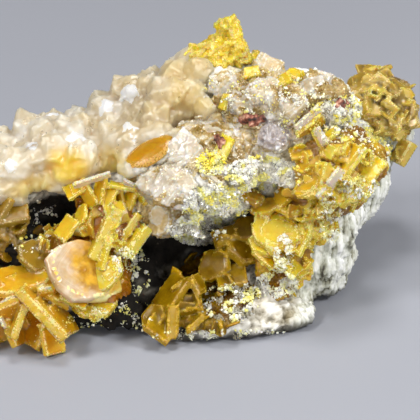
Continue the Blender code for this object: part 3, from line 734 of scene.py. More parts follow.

# %% [markdown]
# ## The calcite
# The pale slope is massive calcite that ends in hundreds of stubby, blunt crystals 1 to 4 mm across. They
# are sown over its solid from three ways, the front, above and behind, so that they also cover what the
# front doesn't show. A ring of them stands round the lens, and a few are painted nearly white as glints,
# painted highlights. On the ledge and the ridge the calcite stands in clear plates. Each place has a row,
# as the blades have, and grows a sheaf of four.

# %% The calcite of the slope
# Crystals of this tone are painted nearly white: on the slope they are painted glints, under the ledge one
# white crystal.
WHITE = 1.6     # the tone of a nearly white crystal
ABOVE = Vector((0, 0.4, 1)).normalized()
BEHIND = Vector((0, 1, 0.5)).normalized()
AROUND_LENS = 34
slope = Growth()
footing(slope, "slope_calcite", 0.1)
slope_skin = skin_of(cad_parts["slope_calcite"])
for way in (OUT, ABOVE, BEHIND):
    sow(slope, slope_skin, (-17, 17), (19, 11), 90, small_stub(2.4, 3.8), (0.2, 1.0), 1.2, 0.4, way)
    sow(slope, slope_skin, (-17, 17), (19, 11), 320, small_stub(0.8, 2.0), (0.2, 1.0), 1.2, 0.25, way)
for _ in range(AROUND_LENS):
    angle = rng.uniform(0, math.tau)
    around = Vector((3.7 * math.cos(angle), 2.2 * math.sin(angle), 0)) * MM
    rim_place = laid(spot(*LENS_SPOT, 9.4), *LENS_LIES) @ around
    slope.add(stub(rng.uniform(1.0, 2.0), rng.uniform(1.0, 2.2), 5, rng), standing(rim_place, OUT, rng, 0.8),
              rng.uniform(0, 1))
# Painted highlights: a few crystals in each of these spots are painted nearly white as glints.
GLINT_CRYSTALS = ((-18.3, 23.4, 0.6), (-9.2, 25.4, 0.9), (-23.0, 17.0, 0.5), (-8.6, 20.8, 0.9),
                  (-15.4, 20.0, 0.5), (-12.0, 24.0, 0.4), (-20.6, 19.0, 0.4))
for across, up, wide in GLINT_CRYSTALS:
    sow(slope, slope_skin, (across, up), (wide, wide), 5, small_stub(0.9, 1.8), (WHITE, WHITE), 0.6, 0.0)
slope_crystals = fused("slope_crystals", slope, 0.21, grit=0.15, crisp=34, chips=0.07)

# %% The calcite of the ledge and the ridge
LEDGE_PLATES = (
    (-4.6, 14.6, 1.2, 60, 50, 3.6, 2.8, 0.6, 4, 1.0),
    (-3.0, 13.2, 1.0, 10, 60, 3.2, 2.6, 0.6, 6, 0.95),
    (-6.2, 15.4, 1.0, 35, 40, 3.0, 2.4, 0.5, 4, 0.95),
    (-2.4, 14.8, 0.8, -40, 50, 3.0, 2.4, 0.5, 4, 0.8),
    (-5.2, 10.4, 1.0, 70, 60, 3.4, 3.0, 0.8, 8, 0.35),
    (-2.2, 18.6, 1.0, 42, 50, 4.0, 3.0, 0.6, 4, 0.9),
    (0.8, 23.2, 0.8, 5, 40, 3.2, 2.6, 0.7, 4, 0.9),
    (2.3, 27.4, 0.8, 15, 40, 3.0, 2.4, 0.7, 6, 1.0),
    (13.4, 26.0, 1.2, 95, 55, 3.8, 3.0, 0.8, 4, 0.9),
    (8.0, 28.6, 0.9, -30, 45, 3.6, 3.0, 0.7, 4, 0.5),
    (7.2, 26.0, 0.8, 0, 55, 3.6, 3.0, 0.7, 6, 0.8),
    (8.2, 20.4, 0.9, 0, 60, 3.4, 3.0, 1.2, 8, 0.6),
    (15.6, 24.2, 0.8, -10, 40, 3.2, 2.6, 0.7, 4, 0.6),
    (4.6, 20.4, 0.7, 30, 50, 3.2, 2.6, 0.7, 4, 0.6),
    (4.8, 24.6, 0.7, -20, 50, 3.2, 2.6, 0.7, 4, 0.8),
    (10.6, 23.8, 0.7, 50, 50, 3.2, 2.6, 0.7, 4, 0.5),
    (1.4, 16.0, 0.6, -35, 55, 2.8, 2.4, 0.6, 4, 0.6),
    (5.2, 16.8, 0.6, 60, 45, 2.8, 2.4, 0.6, 4, 0.6),
)
ledge = Growth()
footing(ledge, "ledge_calcite", 0.1)
grow_rows(ledge, LEDGE_PLATES, solid_rock, sheaf=4)
ledge_skin = skin_of(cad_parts["ledge_calcite"])
sow(ledge, ledge_skin, (4, 20), (14, 9), 200, small_stub(0.5, 1.3), (0.2, 1.0), 0.9, 0.3)
sow(ledge, ledge_skin, (4, 20), (14, 9), 110, small_blade(0.8, 2.2, (0.12, 0.2)), (0.1, 1.0), 0.6, 0.2)
# One long white crystal hangs from the front of the ledge, over the hollow.
ledge.add(stub(0.9, 3.4, 5, rng),
          standing(spot(-1.2, 9.3, 10.4), ACROSS * 0.85 - UP * 0.5 + OUT * 0.2, rng, 0.0), WHITE)
ledge_crystals = fused("ledge_crystals", ledge, 0.15, grit=0.35, chips=0.12)

# %% [markdown]
# ## Yellow flakes on the pale ledge
# A few bright flakes of wulfenite stand among the pale crystals. They are few enough to have a row each,
# and they count from the finished surface, because they sit on the crystals and not on the rock below.

# %% The flakes
FLAKE_ROWS = (
    (2.2, 18.8, 0.1, 62, 55, 4.0, 2.0, 0.6, 4, 0.95),
    (1.0, 17.6, 0.0, 40, 40, 2.4, 1.6, 0.5, 4, 0.75),
    (2.6, 24.8, 0.1, 70, 35, 2.0, 1.2, 0.5, 4, 0.9),
    (9.4, 27.2, 0.1, 30, 45, 2.4, 1.8, 0.6, 4, 0.6),
    (11.2, 28.0, 0.0, -20, 45, 2.4, 1.8, 0.6, 6, 0.5),
    (5.8, 28.4, 0.1, 10, 55, 2.0, 1.6, 0.6, 4, 0.7),
)
flakes = Growth()
front_skin = skin_of(slope_crystals, ledge_crystals, rock)
grow_rows(flakes, FLAKE_ROWS, front_skin)
flake_blades = fused("flake_blades", flakes, 0.14)

# %% [markdown]
# ## The sugary druse
# Between the big crystals the rock is covered with grains and needles a few tenths of a millimetre long.
# They could be a bump in the material, but at the edge of the ledge they stand out against the dark hollow.
# So a few small crystals are made by the operators and set down thousands of times, each copy turned, sized
# and toned by itself. A slow noise says where they keep together and what tone they have.

# %% Sowing the druse
GRAINS = (stub(0.4, 1.5, 4, rng), stub(0.6, 1.2, 5, rng), stub(0.9, 0.9, 5, rng))
blade_skin = skin_of(left_blades, upright_blades, shell_blade, right_blades, hollow_blades)


def frost(growth, target, middle, half, count, size, tones, bare=-0.1, spill=0.12):
    """Grains over a stretch of the front. Higher `bare` leaves more of it free of grains, and `spill` is the
    share that may settle on a blade."""
    for _ in range(count):
        angle, reach = rng.uniform(0, math.tau), math.sqrt(rng.random())
        place, normal = meet(target, middle[0] + half[0] * reach * math.cos(angle),
                             middle[1] + half[1] * reach * math.sin(angle), spread=0.5)
        if place is None or noise.noise(place / MM * 0.9) < bare:
            continue
        if blade_skin.find_nearest(place, 0.05 * MM)[0] is not None and rng.random() > spill:
            continue
        patch = eased(-0.25, 0.25, noise.noise(place / MM * 0.8 + Vector((9, 9, 9))))
        tone = tones[0] + (tones[1] - tones[0]) * patch + rng.gauss(0, 0.1)
        grown = size[0] + (size[1] - size[0]) * rng.random() ** 2
        placing = standing(place, normal, rng, 0.8) @ Matrix.Scale(grown, 4)
        growth.add(rng.choice(GRAINS), placing, within(tone), keep=True)


print("the grains have", [len(grain.faces) for grain in GRAINS], "faces")

# %% [markdown]
# ## Where the druse lies
# The druse is thickest on the ledge and under the shoulder, and thin on the blades. It is listed patch by
# patch for three pieces, the ledge, the top and the lower part, so that none of them gets too big.

# %% The patches of the druse
# For each piece, its patches: middle and half sizes (mm on the front), how many, sizes (mm), tones from grey
# 0 through white and green to yellow 1, how bare, and how much may spill onto the blades.
DRUSE = {
    "ledge_druse": (
        ((-0.6, 9.4), (3.4, 1.9), 1500, (0.25, 0.7), (0.05, 0.6), -0.5),
        ((1.6, 12.4), (4.0, 2.4), 1900, (0.2, 0.6), (0.2, 0.75), -0.4),
        ((7.2, 16.0), (4.6, 2.2), 1900, (0.2, 0.6), (0.15, 0.7), -0.4),
        ((1.0, 17.4), (1.9, 1.5), 480, (0.15, 0.45), (0.6, 1.0), -0.2, 1.0),
        ((11.6, 22.4), (2.6, 2.2), 420, (0.15, 0.45), (0.2, 0.7), 0.0),
    ),
    "upper_druse": (
        ((17.6, 22.4), (5.4, 3.0), 2600, (0.2, 0.6), (0.2, 0.8), -0.3),
        ((20.8, 19.6), (2.8, 2.6), 700, (0.2, 0.5), (0.3, 0.8), -0.2, 0.3),
        ((5.6, 26.0), (6.0, 3.2), 500, (0.15, 0.45), (0.25, 0.8), 0.0),
        ((12.4, 25.4), (3.4, 2.6), 350, (0.15, 0.45), (0.25, 0.7), 0.0),
        ((-4.0, 16.0), (3.0, 3.0), 200, (0.1, 0.3), (0.2, 0.5), 0.0),
    ),
    "lower_druse": (
        ((3.4, 0.8), (3.4, 2.4), 1300, (0.2, 0.6), (-0.05, 0.65), -0.15, 0.7),
        ((9.6, 5.8), (1.2, 3.2), 700, (0.15, 0.45), (0.25, 0.5), -0.3, 0.9),
        ((10.8, 8.4), (2.2, 4.0), 400, (0.1, 0.3), (0.5, 0.9), 0.0, 0.6),
        ((8.8, 2.8), (2.6, 1.6), 900, (0.2, 0.5), (0.2, 0.6), -0.3, 1.0),
        ((15.3, 10.8), (1.5, 3.2), 900, (0.2, 0.5), (0.2, 0.6), -0.1, 0.5),
        ((18.6, 14.4), (2.6, 1.2), 550, (0.2, 0.5), (0.2, 0.7), -0.2, 0.8),
        ((2.0, -3.2), (9.0, 0.7), 500, (0.2, 0.6), (0.1, 0.5), -0.1, 0.4),
        ((-11.0, 8.0), (1.8, 4.6), 700, (0.1, 0.3), (0.5, 0.9), 0.0, 0.8),
        ((-9.4, 5.8), (1.4, 1.6), 500, (0.15, 0.4), (0.25, 0.6), -0.2, 0.6),
        ((-13.2, -1.2), (3.0, 1.4), 500, (0.12, 0.4), (0.4, 0.8), 0.0, 0.8),
        ((-8.6, 4.2), (2.2, 3.0), 340, (0.2, 0.75), (0.2, 0.6), 0.0),
        ((-8.6, -1.0), (2.6, 2.0), 300, (0.15, 0.45), (0.2, 0.7), 0.0),
        ((-19.4, 11.0), (2.0, 2.2), 200, (0.15, 0.5), (-0.1, 0.2), 0.05),
        ((-19.0, 7.6), (4.0, 1.2), 160, (0.15, 0.5), (0.3, 0.7), 0.0, 0.5),
        ((-19.5, -0.5), (5.0, 4.0), 300, (0.1, 0.25), (0.6, 1.0), 0.0, 1.0),
    ),
}
front = skin_of(rock, left_blades, upright_blades, shell_blade, right_blades, ledge_crystals, hollow_blades,
                slope_crystals, flake_blades)
druse_pieces = []
for name, patches in DRUSE.items():
    grains = Growth()
    for patch in patches:
        frost(grains, front, *patch)
    for v in grains.bm.verts:
        v.co.z = max(v.co.z, 0.0)
    druse_pieces.append(object_of(name, grains.bm))
    print(f"{name}: {grains.crystals} grains, {len(druse_pieces[-1].data.loop_triangles)} triangles")

# %% [markdown]
# ## Three rusty patches
# Red-brown iron oxide sits among the pale crystals in three places. Each patch is a heap of short, rough
# stubs, thickest in its middle, which a bell-shaped random spread gives at once.

# %% The rusty nodules
# Each patch is across, up, spread (mm) and the number of stubs.
RUST_PATCHES = ((5.6, 22.8, 0.6, 28), (1.9, 20.2, 0.4, 10), (16.6, 24.6, 0.4, 8))
rust = Growth()
for across, up, spread, count in RUST_PATCHES:
    for _ in range(count):
        place, normal = meet(front, across + rng.gauss(0, spread), up + rng.gauss(0, 0.6 * spread))
        rust.add(stub(rng.uniform(0.4, 1.0), rng.uniform(0.5, 1.5), 4, rng),
                 standing(place, normal, rng, 0.9), 0.5)
rust_nodules = fused("rust_nodules", rust, 0.1, chips=0.1)

# %% [markdown]
# ## Writing shader maths as Python
# A node tree built link by link is hard to read. The small class below wraps a socket and overloads the
# arithmetic signs, so that `1 - mask * 0.5` adds the Math nodes it needs. Every other node comes from
# `node`, which takes its type, its settings and then its sockets.

# %% A socket that can be added and multiplied


class Finish:
    """A material under construction."""

    def __init__(self, name, **principled):
        self.material = bpy.data.materials.new(name)
        self.material.use_nodes = True
        self.tree = self.material.node_tree
        self.shader = self.tree.nodes["Principled BSDF"]
        for socket, value in principled.items():
            self.shader.inputs[socket.replace("_", " ")].default_value = value
        self.place = self.node('ShaderNodeTexCoord').out("Object")

    def node(self, kind, settings=None, **sockets):
        made = self.tree.nodes.new(kind)
        for key, value in (settings or {}).items():
            if key == "stops":
                for _ in range(len(value) - 2):
                    made.color_ramp.elements.new(0.5)
                for element, (at, colour) in zip(made.color_ramp.elements, value):
                    element.position = at
                    element.color = (*colour, 1)
            else:
                setattr(made, key, value)
        for key, value in sockets.items():
            index = int(key[1:]) if key[0] == "i" and key[1:].isdigit() else key.replace("_", " ")
            self.feed(made.inputs[index], value)
        return Wired(self, made)

    def feed(self, socket, value):
        if isinstance(value, Wired):
            self.tree.links.new(value.socket, socket)
        else:
            socket.default_value = value

    def set(self, **sockets):
        for key, value in sockets.items():
            self.feed(self.shader.inputs[key.replace("_", " ")], value)

    def mix(self, factor, one, other):
        """One colour where the factor is 0, the other where it is 1. Three numbers will do for a colour."""
        one, other = (c if isinstance(c, Wired) else (*c[:3], 1) for c in (one, other))
        return self.node('ShaderNodeMix', {"data_type": 'RGBA'}, i0=factor, i6=one, i7=other).out(2)

    def noise(self, scale, detail=3.0, roughness=0.55, place=None):
        made = self.node('ShaderNodeTexNoise', None, Vector=place or self.place, Scale=scale, Detail=detail,
                         Roughness=roughness)
        return made.out(0)

    def layers(self, along, other=0.0):
        """Thin uneven layers that follow one number, or two."""
        return self.noise(1.0, 3, 0.7, self.node('ShaderNodeCombineXYZ', None, X=along, Y=other))

    def axis(self, which):
        return self.node('ShaderNodeSeparateXYZ', None, Vector=self.place).out(which)

    def ramp(self, value, *stops):
        return self.node('ShaderNodeValToRGB', {"stops": stops}, Fac=value).out(0)

    def attribute(self, name):
        return self.node('ShaderNodeAttribute', {"attribute_name": name}).out("Fac")

    def bump(self, height, distance, strength=1.0):
        return self.node('ShaderNodeBump', None, Height=height, Distance=distance, Strength=strength).out(0)


class Wired:
    """A node's output that takes part in sums."""

    def __init__(self, finish, node, output=0):
        self.finish, self.nodes, self.output = finish, node, output

    @property
    def socket(self):
        return self.nodes.outputs[self.output]

    def out(self, output):
        return Wired(self.finish, self.nodes, output)

    def _sum(self, operation, one, other):
        return self.finish.node('ShaderNodeMath', {"operation": operation}, i0=one, i1=other)

    def __add__(self, other): return self._sum('ADD', self, other)
    def __radd__(self, other): return self._sum('ADD', other, self)
    def __sub__(self, other): return self._sum('SUBTRACT', self, other)
    def __rsub__(self, other): return self._sum('SUBTRACT', other, self)
    def __mul__(self, other): return self._sum('MULTIPLY', self, other)
    def __rmul__(self, other): return self._sum('MULTIPLY', other, self)

    def larger(self, other):
        return self._sum('MAXIMUM', self, other)

    def between(self, low, high):
        """0 below low, 1 above high."""
        return self.finish.node('ShaderNodeMapRange', {"interpolation_type": 'SMOOTHSTEP'}, Value=self,
                                From_Min=low, From_Max=high)


# %% [markdown]
# ## Finishes that light can enter
# Wulfenite and calcite are clear inside and cloudy in places. Part of the light is let straight through
# and part wanders below the skin, which gives the glow. The tone of each crystal picks its colour, a noise
# clouds it, and the rims turn pale. Some colours belong to a place on the piece and not to a crystal: for
# those, `near` makes a mask that is 1 inside an ellipsoid and ends in a ragged edge.

# %% Masks on the piece


def near(f, centre, half, ragged=None, core=0.7):
    """1 inside an ellipsoid given in mm, 0 outside, with a soft edge that a noise makes ragged."""
    middle = [c * MM for c in centre]
    shifted = f.node('ShaderNodeVectorMath', {"operation": 'SUBTRACT'}, i0=f.place, i1=middle)
    scaled = f.node('ShaderNodeVectorMath', {"operation": 'DIVIDE'}, i0=shifted, i1=[h * MM for h in half])
    length = f.node('ShaderNodeVectorMath', {"operation": 'LENGTH'}, i0=scaled).out("Value")
    return 1 - (length if ragged is None else length + (ragged - 0.5) * 1.2).between(core, 1.15)


def on_front(across, up, out):
    return [c / MM for c in spot(across, up, out)]


def seen(across, up):
    """Where a straight look from the front meets the rock or the calcite, in mm."""
    return [c / MM for c in front_skin.ray_cast(spot(across, up, FAR), -OUT)[0]]


print("the middle of the ledge lies at", [round(c, 1) for c in seen(4, 16)], "mm")

# %% [markdown]
# ## Wulfenite in six colours
# All the wulfenite shares one recipe. Its colour runs from deep orange to yellow with the tone of the
# crystal, and thin growth layers follow the distance from the middle of a face. Several parts are painted
# light and shade: painted shade in the clefts between crystals and on the crystals under the overhang at
# the left, a painted glow on the sides and towards the rims, pale frost on the rims with fine specks of
# painted highlight, and painted glints on the blades of tone 1.5 and up. The six finishes differ in their
# four colours. The one for the hollow is a darker copy, painted shade for the hollow, and lets less light
# through.

# %% Wulfenite
GLINT_WHITE = (0.92, 0.80, 0.66)
SHADED = (0.30, 0.19, 0.008)
SHADY_SPOTS = ((-23.8, 10.9), (4.0, 3.8)), ((-21.0, 7.4), (3.6, 1.8))


def wulfenite(name, deep, middle, bright, pale, edge=0.9, **principled):
    """Translucent resinous crystal, with painted shade between the blades, a painted glow on their sides and
    rims, and pale frost with painted highlight specks on their edges.
    """
    look = dict(Roughness=0.1, IOR=1.55, Transmission_Weight=0.55, Subsurface_Weight=0.8,
                Subsurface_Scale=0.0008, Subsurface_Radius=(1.0, 0.6, 0.12))
    look.update(principled)
    f = Finish(name, **look)
    steps = f.layers(f.attribute("zone") * 11, f.attribute("tone") * 40)
    tone = f.attribute("tone") * 0.65 + f.noise(520, 4, 0.7) * 0.9 + steps * 0.3 - 0.5
    colour = f.ramp(tone, (0.0, deep), (0.4, middle), (0.75, bright), (1.0, pale))
    # Painted glow: the narrow sides and the outer part of each face are painted brighter, as light through the
    # crystal would make them.
    colour = f.mix(f.attribute("side") * 0.35, colour, bright)
    glow = f.attribute("zone").between(0.5, 1.0) * (f.noise(420, 3) + steps * 0.5).between(0.5, 1.0)
    colour = f.mix(glow * 0.5, colour, bright)
    # Painted glints: the blades of tone 1.5 and up are painted nearly white.
    colour = f.mix(f.attribute("tone").between(1.1, 1.3), colour, GLINT_WHITE)
    for (across, up), (wide, high) in SHADY_SPOTS:
        colour = f.mix(near(f, on_front(across, up, 6), (wide, 9, high)) * 0.75, colour, SHADED)
    # Painted shade in the clefts between crystals, where `crevice` is high.
    painted_shade = [0.25 * c for c in deep]
    colour = f.mix(f.attribute("crevice").between(0.02, 0.26) * 0.92, colour, painted_shade)
    fine = f.noise(3600, 2)
    # The rims are pale frost, partly real and partly painted highlight: the fine noise specks in it stand in
    # for glints.
    frost_and_glints = f.attribute("rim") + f.attribute("side") * 0.2
    frost_and_glints = frost_and_glints * (f.noise(900, 2) + fine - 0.3).between(0.5, 0.8)
    frost_and_glints = frost_and_glints * (f.attribute("tone") * 0.8 + 0.3).between(0.0, 1.1)
    colour = f.mix(frost_and_glints * edge, colour, pale)
    f.set(Base_Color=colour, Roughness=0.06 + f.noise(500, 2) * 0.2 + frost_and_glints * 0.4,
          Normal=f.bump(steps * 0.7 + f.noise(1100, 3, 0.7) * 0.5 + fine * 0.4, 0.00008, 0.8))
    return f.material


YELLOW = (1.0, 0.74, 0.03)
PALE = (0.98, 0.88, 0.52)
amber = wulfenite("amber_wulfenite", (0.46, 0.17, 0.002), (0.84, 0.44, 0.008), YELLOW, PALE)
golden = wulfenite("golden_wulfenite", (0.36, 0.17, 0.003), (0.92, 0.57, 0.008), YELLOW, PALE)
# The hollow's finish is a darker copy of the others: painted shade of the hollow.
shaded_amber = wulfenite("shaded_amber_wulfenite", (0.07, 0.026, 0.001), (0.28, 0.16, 0.0015),
                       (0.58, 0.36, 0.006), (0.85, 0.60, 0.14), 0.5, Specular_IOR_Level=0.2,
                       Transmission_Weight=0.3, Subsurface_Radius=(1.0, 0.6, 0.05))
lemon = wulfenite("lemon_wulfenite", (0.80, 0.42, 0.01), (0.95, 0.62, 0.02), YELLOW, PALE, 0.5)
olive = wulfenite("olive_wulfenite", (0.22, 0.13, 0.02), (0.62, 0.40, 0.04), (0.95, 0.70, 0.10), PALE)
orange = wulfenite("orange_wulfenite", (0.44, 0.20, 0.003), (0.66, 0.34, 0.006), (0.82, 0.50, 0.02),
                   PALE, 0.3, IOR=1.45)
print("wulfenite:", ", ".join(made.name for made in (amber, golden, shaded_amber, lemon, olive, orange)))

# %% [markdown]
# ## The shell's finish
# The shell is beige-pink and banded at its rim, and amber in its middle, where it is thick. Its lower
# layers are yellow. The amber middle could be painted by hand, but it is a plain round patch, so an
# ellipsoid with a ragged edge does.

# %% The shell's bands
f = Finish("shell_wulfenite", Roughness=0.12, IOR=1.6, Transmission_Weight=0.35, Subsurface_Weight=0.9,
           Subsurface_Scale=0.0008, Subsurface_Radius=(1.0, 0.7, 0.4))
cloud = f.noise(420, 3)
inside = near(f, on_front(-12.6, 5.7, 10.8), (4.3, 8, 3.9), cloud, 0.35)
band = f.ramp(cloud * 0.6 + f.layers(f.attribute("zone") * 14) * 0.4,
              (0.35, (0.48, 0.31, 0.13)), (0.6, (0.75, 0.61, 0.45)))
colour = f.mix(inside, band, f.ramp(f.noise(700, 3), (0.35, (0.42, 0.20, 0.008)), (0.65, (0.86, 0.52, 0.04))))
colour = f.mix(f.attribute("tone").between(0.6, 0.9), colour, f.ramp(cloud, (0.4, (0.90, 0.58, 0.08)),
                                                                     (0.6, (1.0, 0.84, 0.40))))
f.set(Base_Color=colour, Roughness=0.08 + cloud * 0.2,
      Normal=f.bump(f.layers(f.attribute("zone") * 9) + f.noise(1300, 3) * 0.4, 0.00006, 0.5))
shell_pink = f.material
print("the shell's finish has", len(f.tree.nodes), "nodes")

# %% [markdown]
# ## Two calcites
# The calcite of the slope is milky: light wanders far inside it and comes out again all over, so it gets a
# long scattering distance and only little contrast, with a slight painted shade in its clefts. Iron oxide has
# stained it yellow and beige in a few places, and a few of its crystals are painted nearly white as glints.
# The plates on the ledge are clearer, with white rims and painted brown shade in their clefts, and one of
# them is a cool grey. Under the ledge the crystals are painted dark as the shade of the hollow.

# %% The milky calcite
MILK_WHITE = (0.97, 0.97, 0.95)
f = Finish("cream_calcite", Roughness=0.2, IOR=1.5, Transmission_Weight=0.45, Subsurface_Weight=1.0,
           Subsurface_Scale=0.003, Subsurface_Radius=(1.0, 0.94, 0.8))
cloud = f.noise(200, 3)
tone = f.attribute("tone") * 0.4 + cloud * 0.9 - 0.2
colour = f.ramp(tone, (0.0, (0.58, 0.46, 0.27)), (0.40, (0.70, 0.60, 0.43)), (0.7, (0.80, 0.73, 0.60)),
                (1.0, (0.92, 0.90, 0.86)))
# Painted shade, slight, in the clefts between the crystals.
colour = f.mix(f.attribute("crevice").between(0.08, 0.5) * 0.15, colour, (0.62, 0.46, 0.24))
STAIN_YELLOW, STAIN_BEIGE = (0.92, 0.62, 0.06), (0.56, 0.42, 0.20)
STAINS = (
    (on_front(-6.0, 25.0, 6), (9.0, 9, 7.0), 0.6, STAIN_BEIGE),
    (seen(-16.0, 16.6), (3.2, 6, 2.6), 1.0, STAIN_YELLOW),
    (on_front(-20.4, 14.8, 8), (4.0, 8, 1.6), 0.6, STAIN_YELLOW),
    (seen(-10.4, 17.4), (4.4, 6, 2.6), 0.7, STAIN_YELLOW),
    (on_front(-2.0, 26.0, 6), (4.0, 8, 4.0), 0.25, STAIN_YELLOW),
)
for centre, half, strength, stained in STAINS:
    colour = f.mix(near(f, centre, half, cloud, 0.3) * strength, colour, stained)
# Painted highlight: the glint crystals are painted nearly white.
colour = f.mix(f.attribute("tone").between(1.1, 1.4) * 0.9, colour, MILK_WHITE)
f.set(Base_Color=colour, Roughness=0.15 + f.noise(900, 2) * 0.4,
      Normal=f.bump(f.noise(1300, 3), 0.00004, 0.5))
cream = f.material
print("the milky calcite has", len(STAINS), "stains")

# %% The clearer calcite of the ledge
UNDER_LEDGE = on_front(7.0, 12.2, 4), (3.4, 8, 2.0)
f = Finish("ledge_calcite", Roughness=0.2, IOR=1.55, Transmission_Weight=0.55, Subsurface_Weight=0.9,
           Subsurface_Scale=0.0008, Subsurface_Radius=(1.0, 0.85, 0.6))
tone = f.attribute("tone") * 0.55 + f.noise(320, 4) * 0.9 - 0.3
colour = f.ramp(tone, (0.0, (0.36, 0.23, 0.05)), (0.25, (0.72, 0.53, 0.22)), (0.45, (0.80, 0.68, 0.47)),
                (0.8, (0.87, 0.80, 0.70)))
lilac = near(f, seen(8.4, 20.4), (2.2, 4, 2.0), f.noise(500, 3))
colour = f.mix(lilac * 0.85, colour, (0.52, 0.48, 0.52))
# Painted shade, brown, in the clefts between the plates.
colour = f.mix(f.attribute("crevice").between(0.04, 0.3) * 0.55, colour, (0.34, 0.23, 0.08))
colour = f.mix(f.attribute("rim") * 0.5, colour, (0.98, 0.97, 0.94))
colour = f.mix(f.attribute("tone").between(1.1, 1.4), colour, MILK_WHITE)
# Painted shade: the crystals under the ledge are painted dark.
colour = f.mix(near(f, *UNDER_LEDGE, f.noise(500, 3)) * 0.9, colour, (0.10, 0.06, 0.015))
f.set(Base_Color=colour, Roughness=0.06 + f.noise(900, 2) * 0.3,
      Normal=f.bump(f.noise(1500, 3), 0.00006, 0.7))
ledge_cream = f.material
print("the ledge's calcite has", len(f.tree.nodes), "nodes")

# %% [markdown]
# ## Druse and rust
# Each grain of the druse has one tone, and the ramp turns it into grey, white, greenish yellow or yellow.
# The grains are too small for a pattern of their own. Rust is the one dull finish here: dark red with
# lighter crumbs, and no light inside.

# %% Druse and rust
f = Finish("druse", Roughness=0.15, IOR=1.65, Transmission_Weight=0.1, Subsurface_Weight=0.4,
           Subsurface_Scale=0.0004, Subsurface_Radius=(1.0, 0.8, 0.4))
colour = f.ramp(f.attribute("tone") + f.noise(900, 3) * 0.3 - 0.15, (0.0, (0.30, 0.27, 0.19)),
                (0.18, (0.86, 0.82, 0.72)), (0.45, (0.91, 0.89, 0.60)), (0.7, (0.80, 0.74, 0.22)),
                (1.0, (1.0, 0.76, 0.06)))
f.set(Base_Color=colour)
sugar = f.material

f = Finish("rust", Roughness=0.7, IOR=1.5)
colour = f.ramp(f.noise(1200, 3), (0.38, (0.02, 0.007, 0.004)), (0.52, (0.20, 0.055, 0.03)),
                (0.66, (0.52, 0.30, 0.20)))
f.set(Base_Color=colour, Normal=f.bump(f.noise(2400, 3), 0.0001, 0.8))
iron = f.material
print("small finishes:", sugar.name, iron.name)

# %% [markdown]
# ## The limestone's finish
# The rock is chalky, grey in its pits and pale on its crests, which `relief` tells apart. The right-hand
# wall is white with dark upright streaks: a noise that is drawn out in height makes them. The beds under the
# druse are brownish and one patch at the lower right is smooth and white. The walls of the hollows are
# painted nearly black as painted shade, and so is a thin band along the foot, where the rock meets the
# floor. The beds, the patch and the hollows are each an ellipsoid with a ragged edge.

# %% Chalk, streaks and beds
f = Finish("limestone", Roughness=0.95, IOR=1.5, Specular_IOR_Level=0.2)
speckle = f.noise(1400, 4, 0.7)
blotch = f.noise(170, 3)
height = f.attribute("relief") * 0.9 + speckle * 0.5 + blotch * 0.4 - 0.04
colour = f.ramp(height, (0.06, (0.03, 0.026, 0.02)), (0.24, (0.20, 0.18, 0.135)), (0.42, (0.44, 0.41, 0.34)),
                (0.70, (0.76, 0.74, 0.68)))
stain = f.noise(110, 3).between(0.55, 0.75)
colour = f.mix(stain * 0.6, colour, (0.46, 0.36, 0.18))
streak = f.noise(700, 3, 0.7, f.node('ShaderNodeVectorMath', {"operation": 'MULTIPLY'}, i0=f.place,
                                   i1=(1, 1, 0.16)))
wall = f.axis("X").between(0.0095, 0.0125)
streaky = f.ramp(streak + height * 0.35 - 0.15, (0.30, (0.03, 0.027, 0.02)), (0.39, (0.26, 0.26, 0.19)),
                 (0.50, (0.56, 0.57, 0.49)), (0.70, (0.90, 0.90, 0.87)))
colour = f.mix(wall * 0.9, colour, streaky)
smooth_white = near(f, on_front(10.8, 1.4, 8), (2.8, 6, 2.0), blotch)
colour = f.mix(smooth_white, colour, (0.97, 0.96, 0.92))
LEDGE_BEDS = (((4.5, 15.5), (8.0, 4.0)), ((15.0, 22.0), (8.0, 4.5)), ((4.0, 24.0), (9.0, 5.0)))
for (across, up), (wide, high) in LEDGE_BEDS:
    bed = near(f, on_front(across, up, 6), (wide, 9, high), blotch)
    colour = f.mix(bed * 0.7, colour, f.ramp(speckle, (0.35, (0.34, 0.28, 0.14)), (0.6, (0.80, 0.74, 0.56))))
print("the rock so far has", len(f.tree.nodes), "nodes")

# %% Painted shade in the hollows and along the foot
# Painted shade: the rock in these hollows and under the ledge is painted nearly black.
SHADED_HOLLOWS = (
    ((-3.4, -4, 7.0), (8.6, 12, 5.6)),
    ((-18, -2.5, 12.2), (5.6, 8, 4.0)),
    ((-9.0, -6, 4.0), (3.4, 5, 5.0)),
    (on_front(-13.0, -1.2, 8.0), (4.2, 9, 2.8)),
    (on_front(-23.5, 9.5, 5.0), (4.5, 9, 4.0)),
    UNDER_LEDGE,
)
painted_shade = 0.0
for centre, half in SHADED_HOLLOWS:
    painted_shade = near(f, centre, half, blotch).larger(painted_shade)
shadowy = f.ramp(speckle * 0.5 + streak * 0.5, (0.35, (0.002, 0.002, 0.002)), (0.60, (0.014, 0.011, 0.008)),
                 (0.75, (0.18, 0.15, 0.11)))
colour = f.mix(painted_shade, colour, shadowy)
# Painted shade along the foot, where the rock meets the floor.
foot = 1 - (f.axis("Z") + (blotch - 0.5) * 0.003).between(0.0006, 0.0018)
colour = f.mix(foot * 0.85, colour, shadowy)
f.set(Base_Color=colour, Normal=f.bump(f.noise(2400, 4, 0.7), 0.00012, 0.9))
stone = f.material
print("the finished rock has", len(f.tree.nodes), "nodes")

# %% [markdown]
# ## Putting the pieces in place
# Every piece rides on the one body there is and gets its finish. The piece that stands for a whole solid
# also hides it.

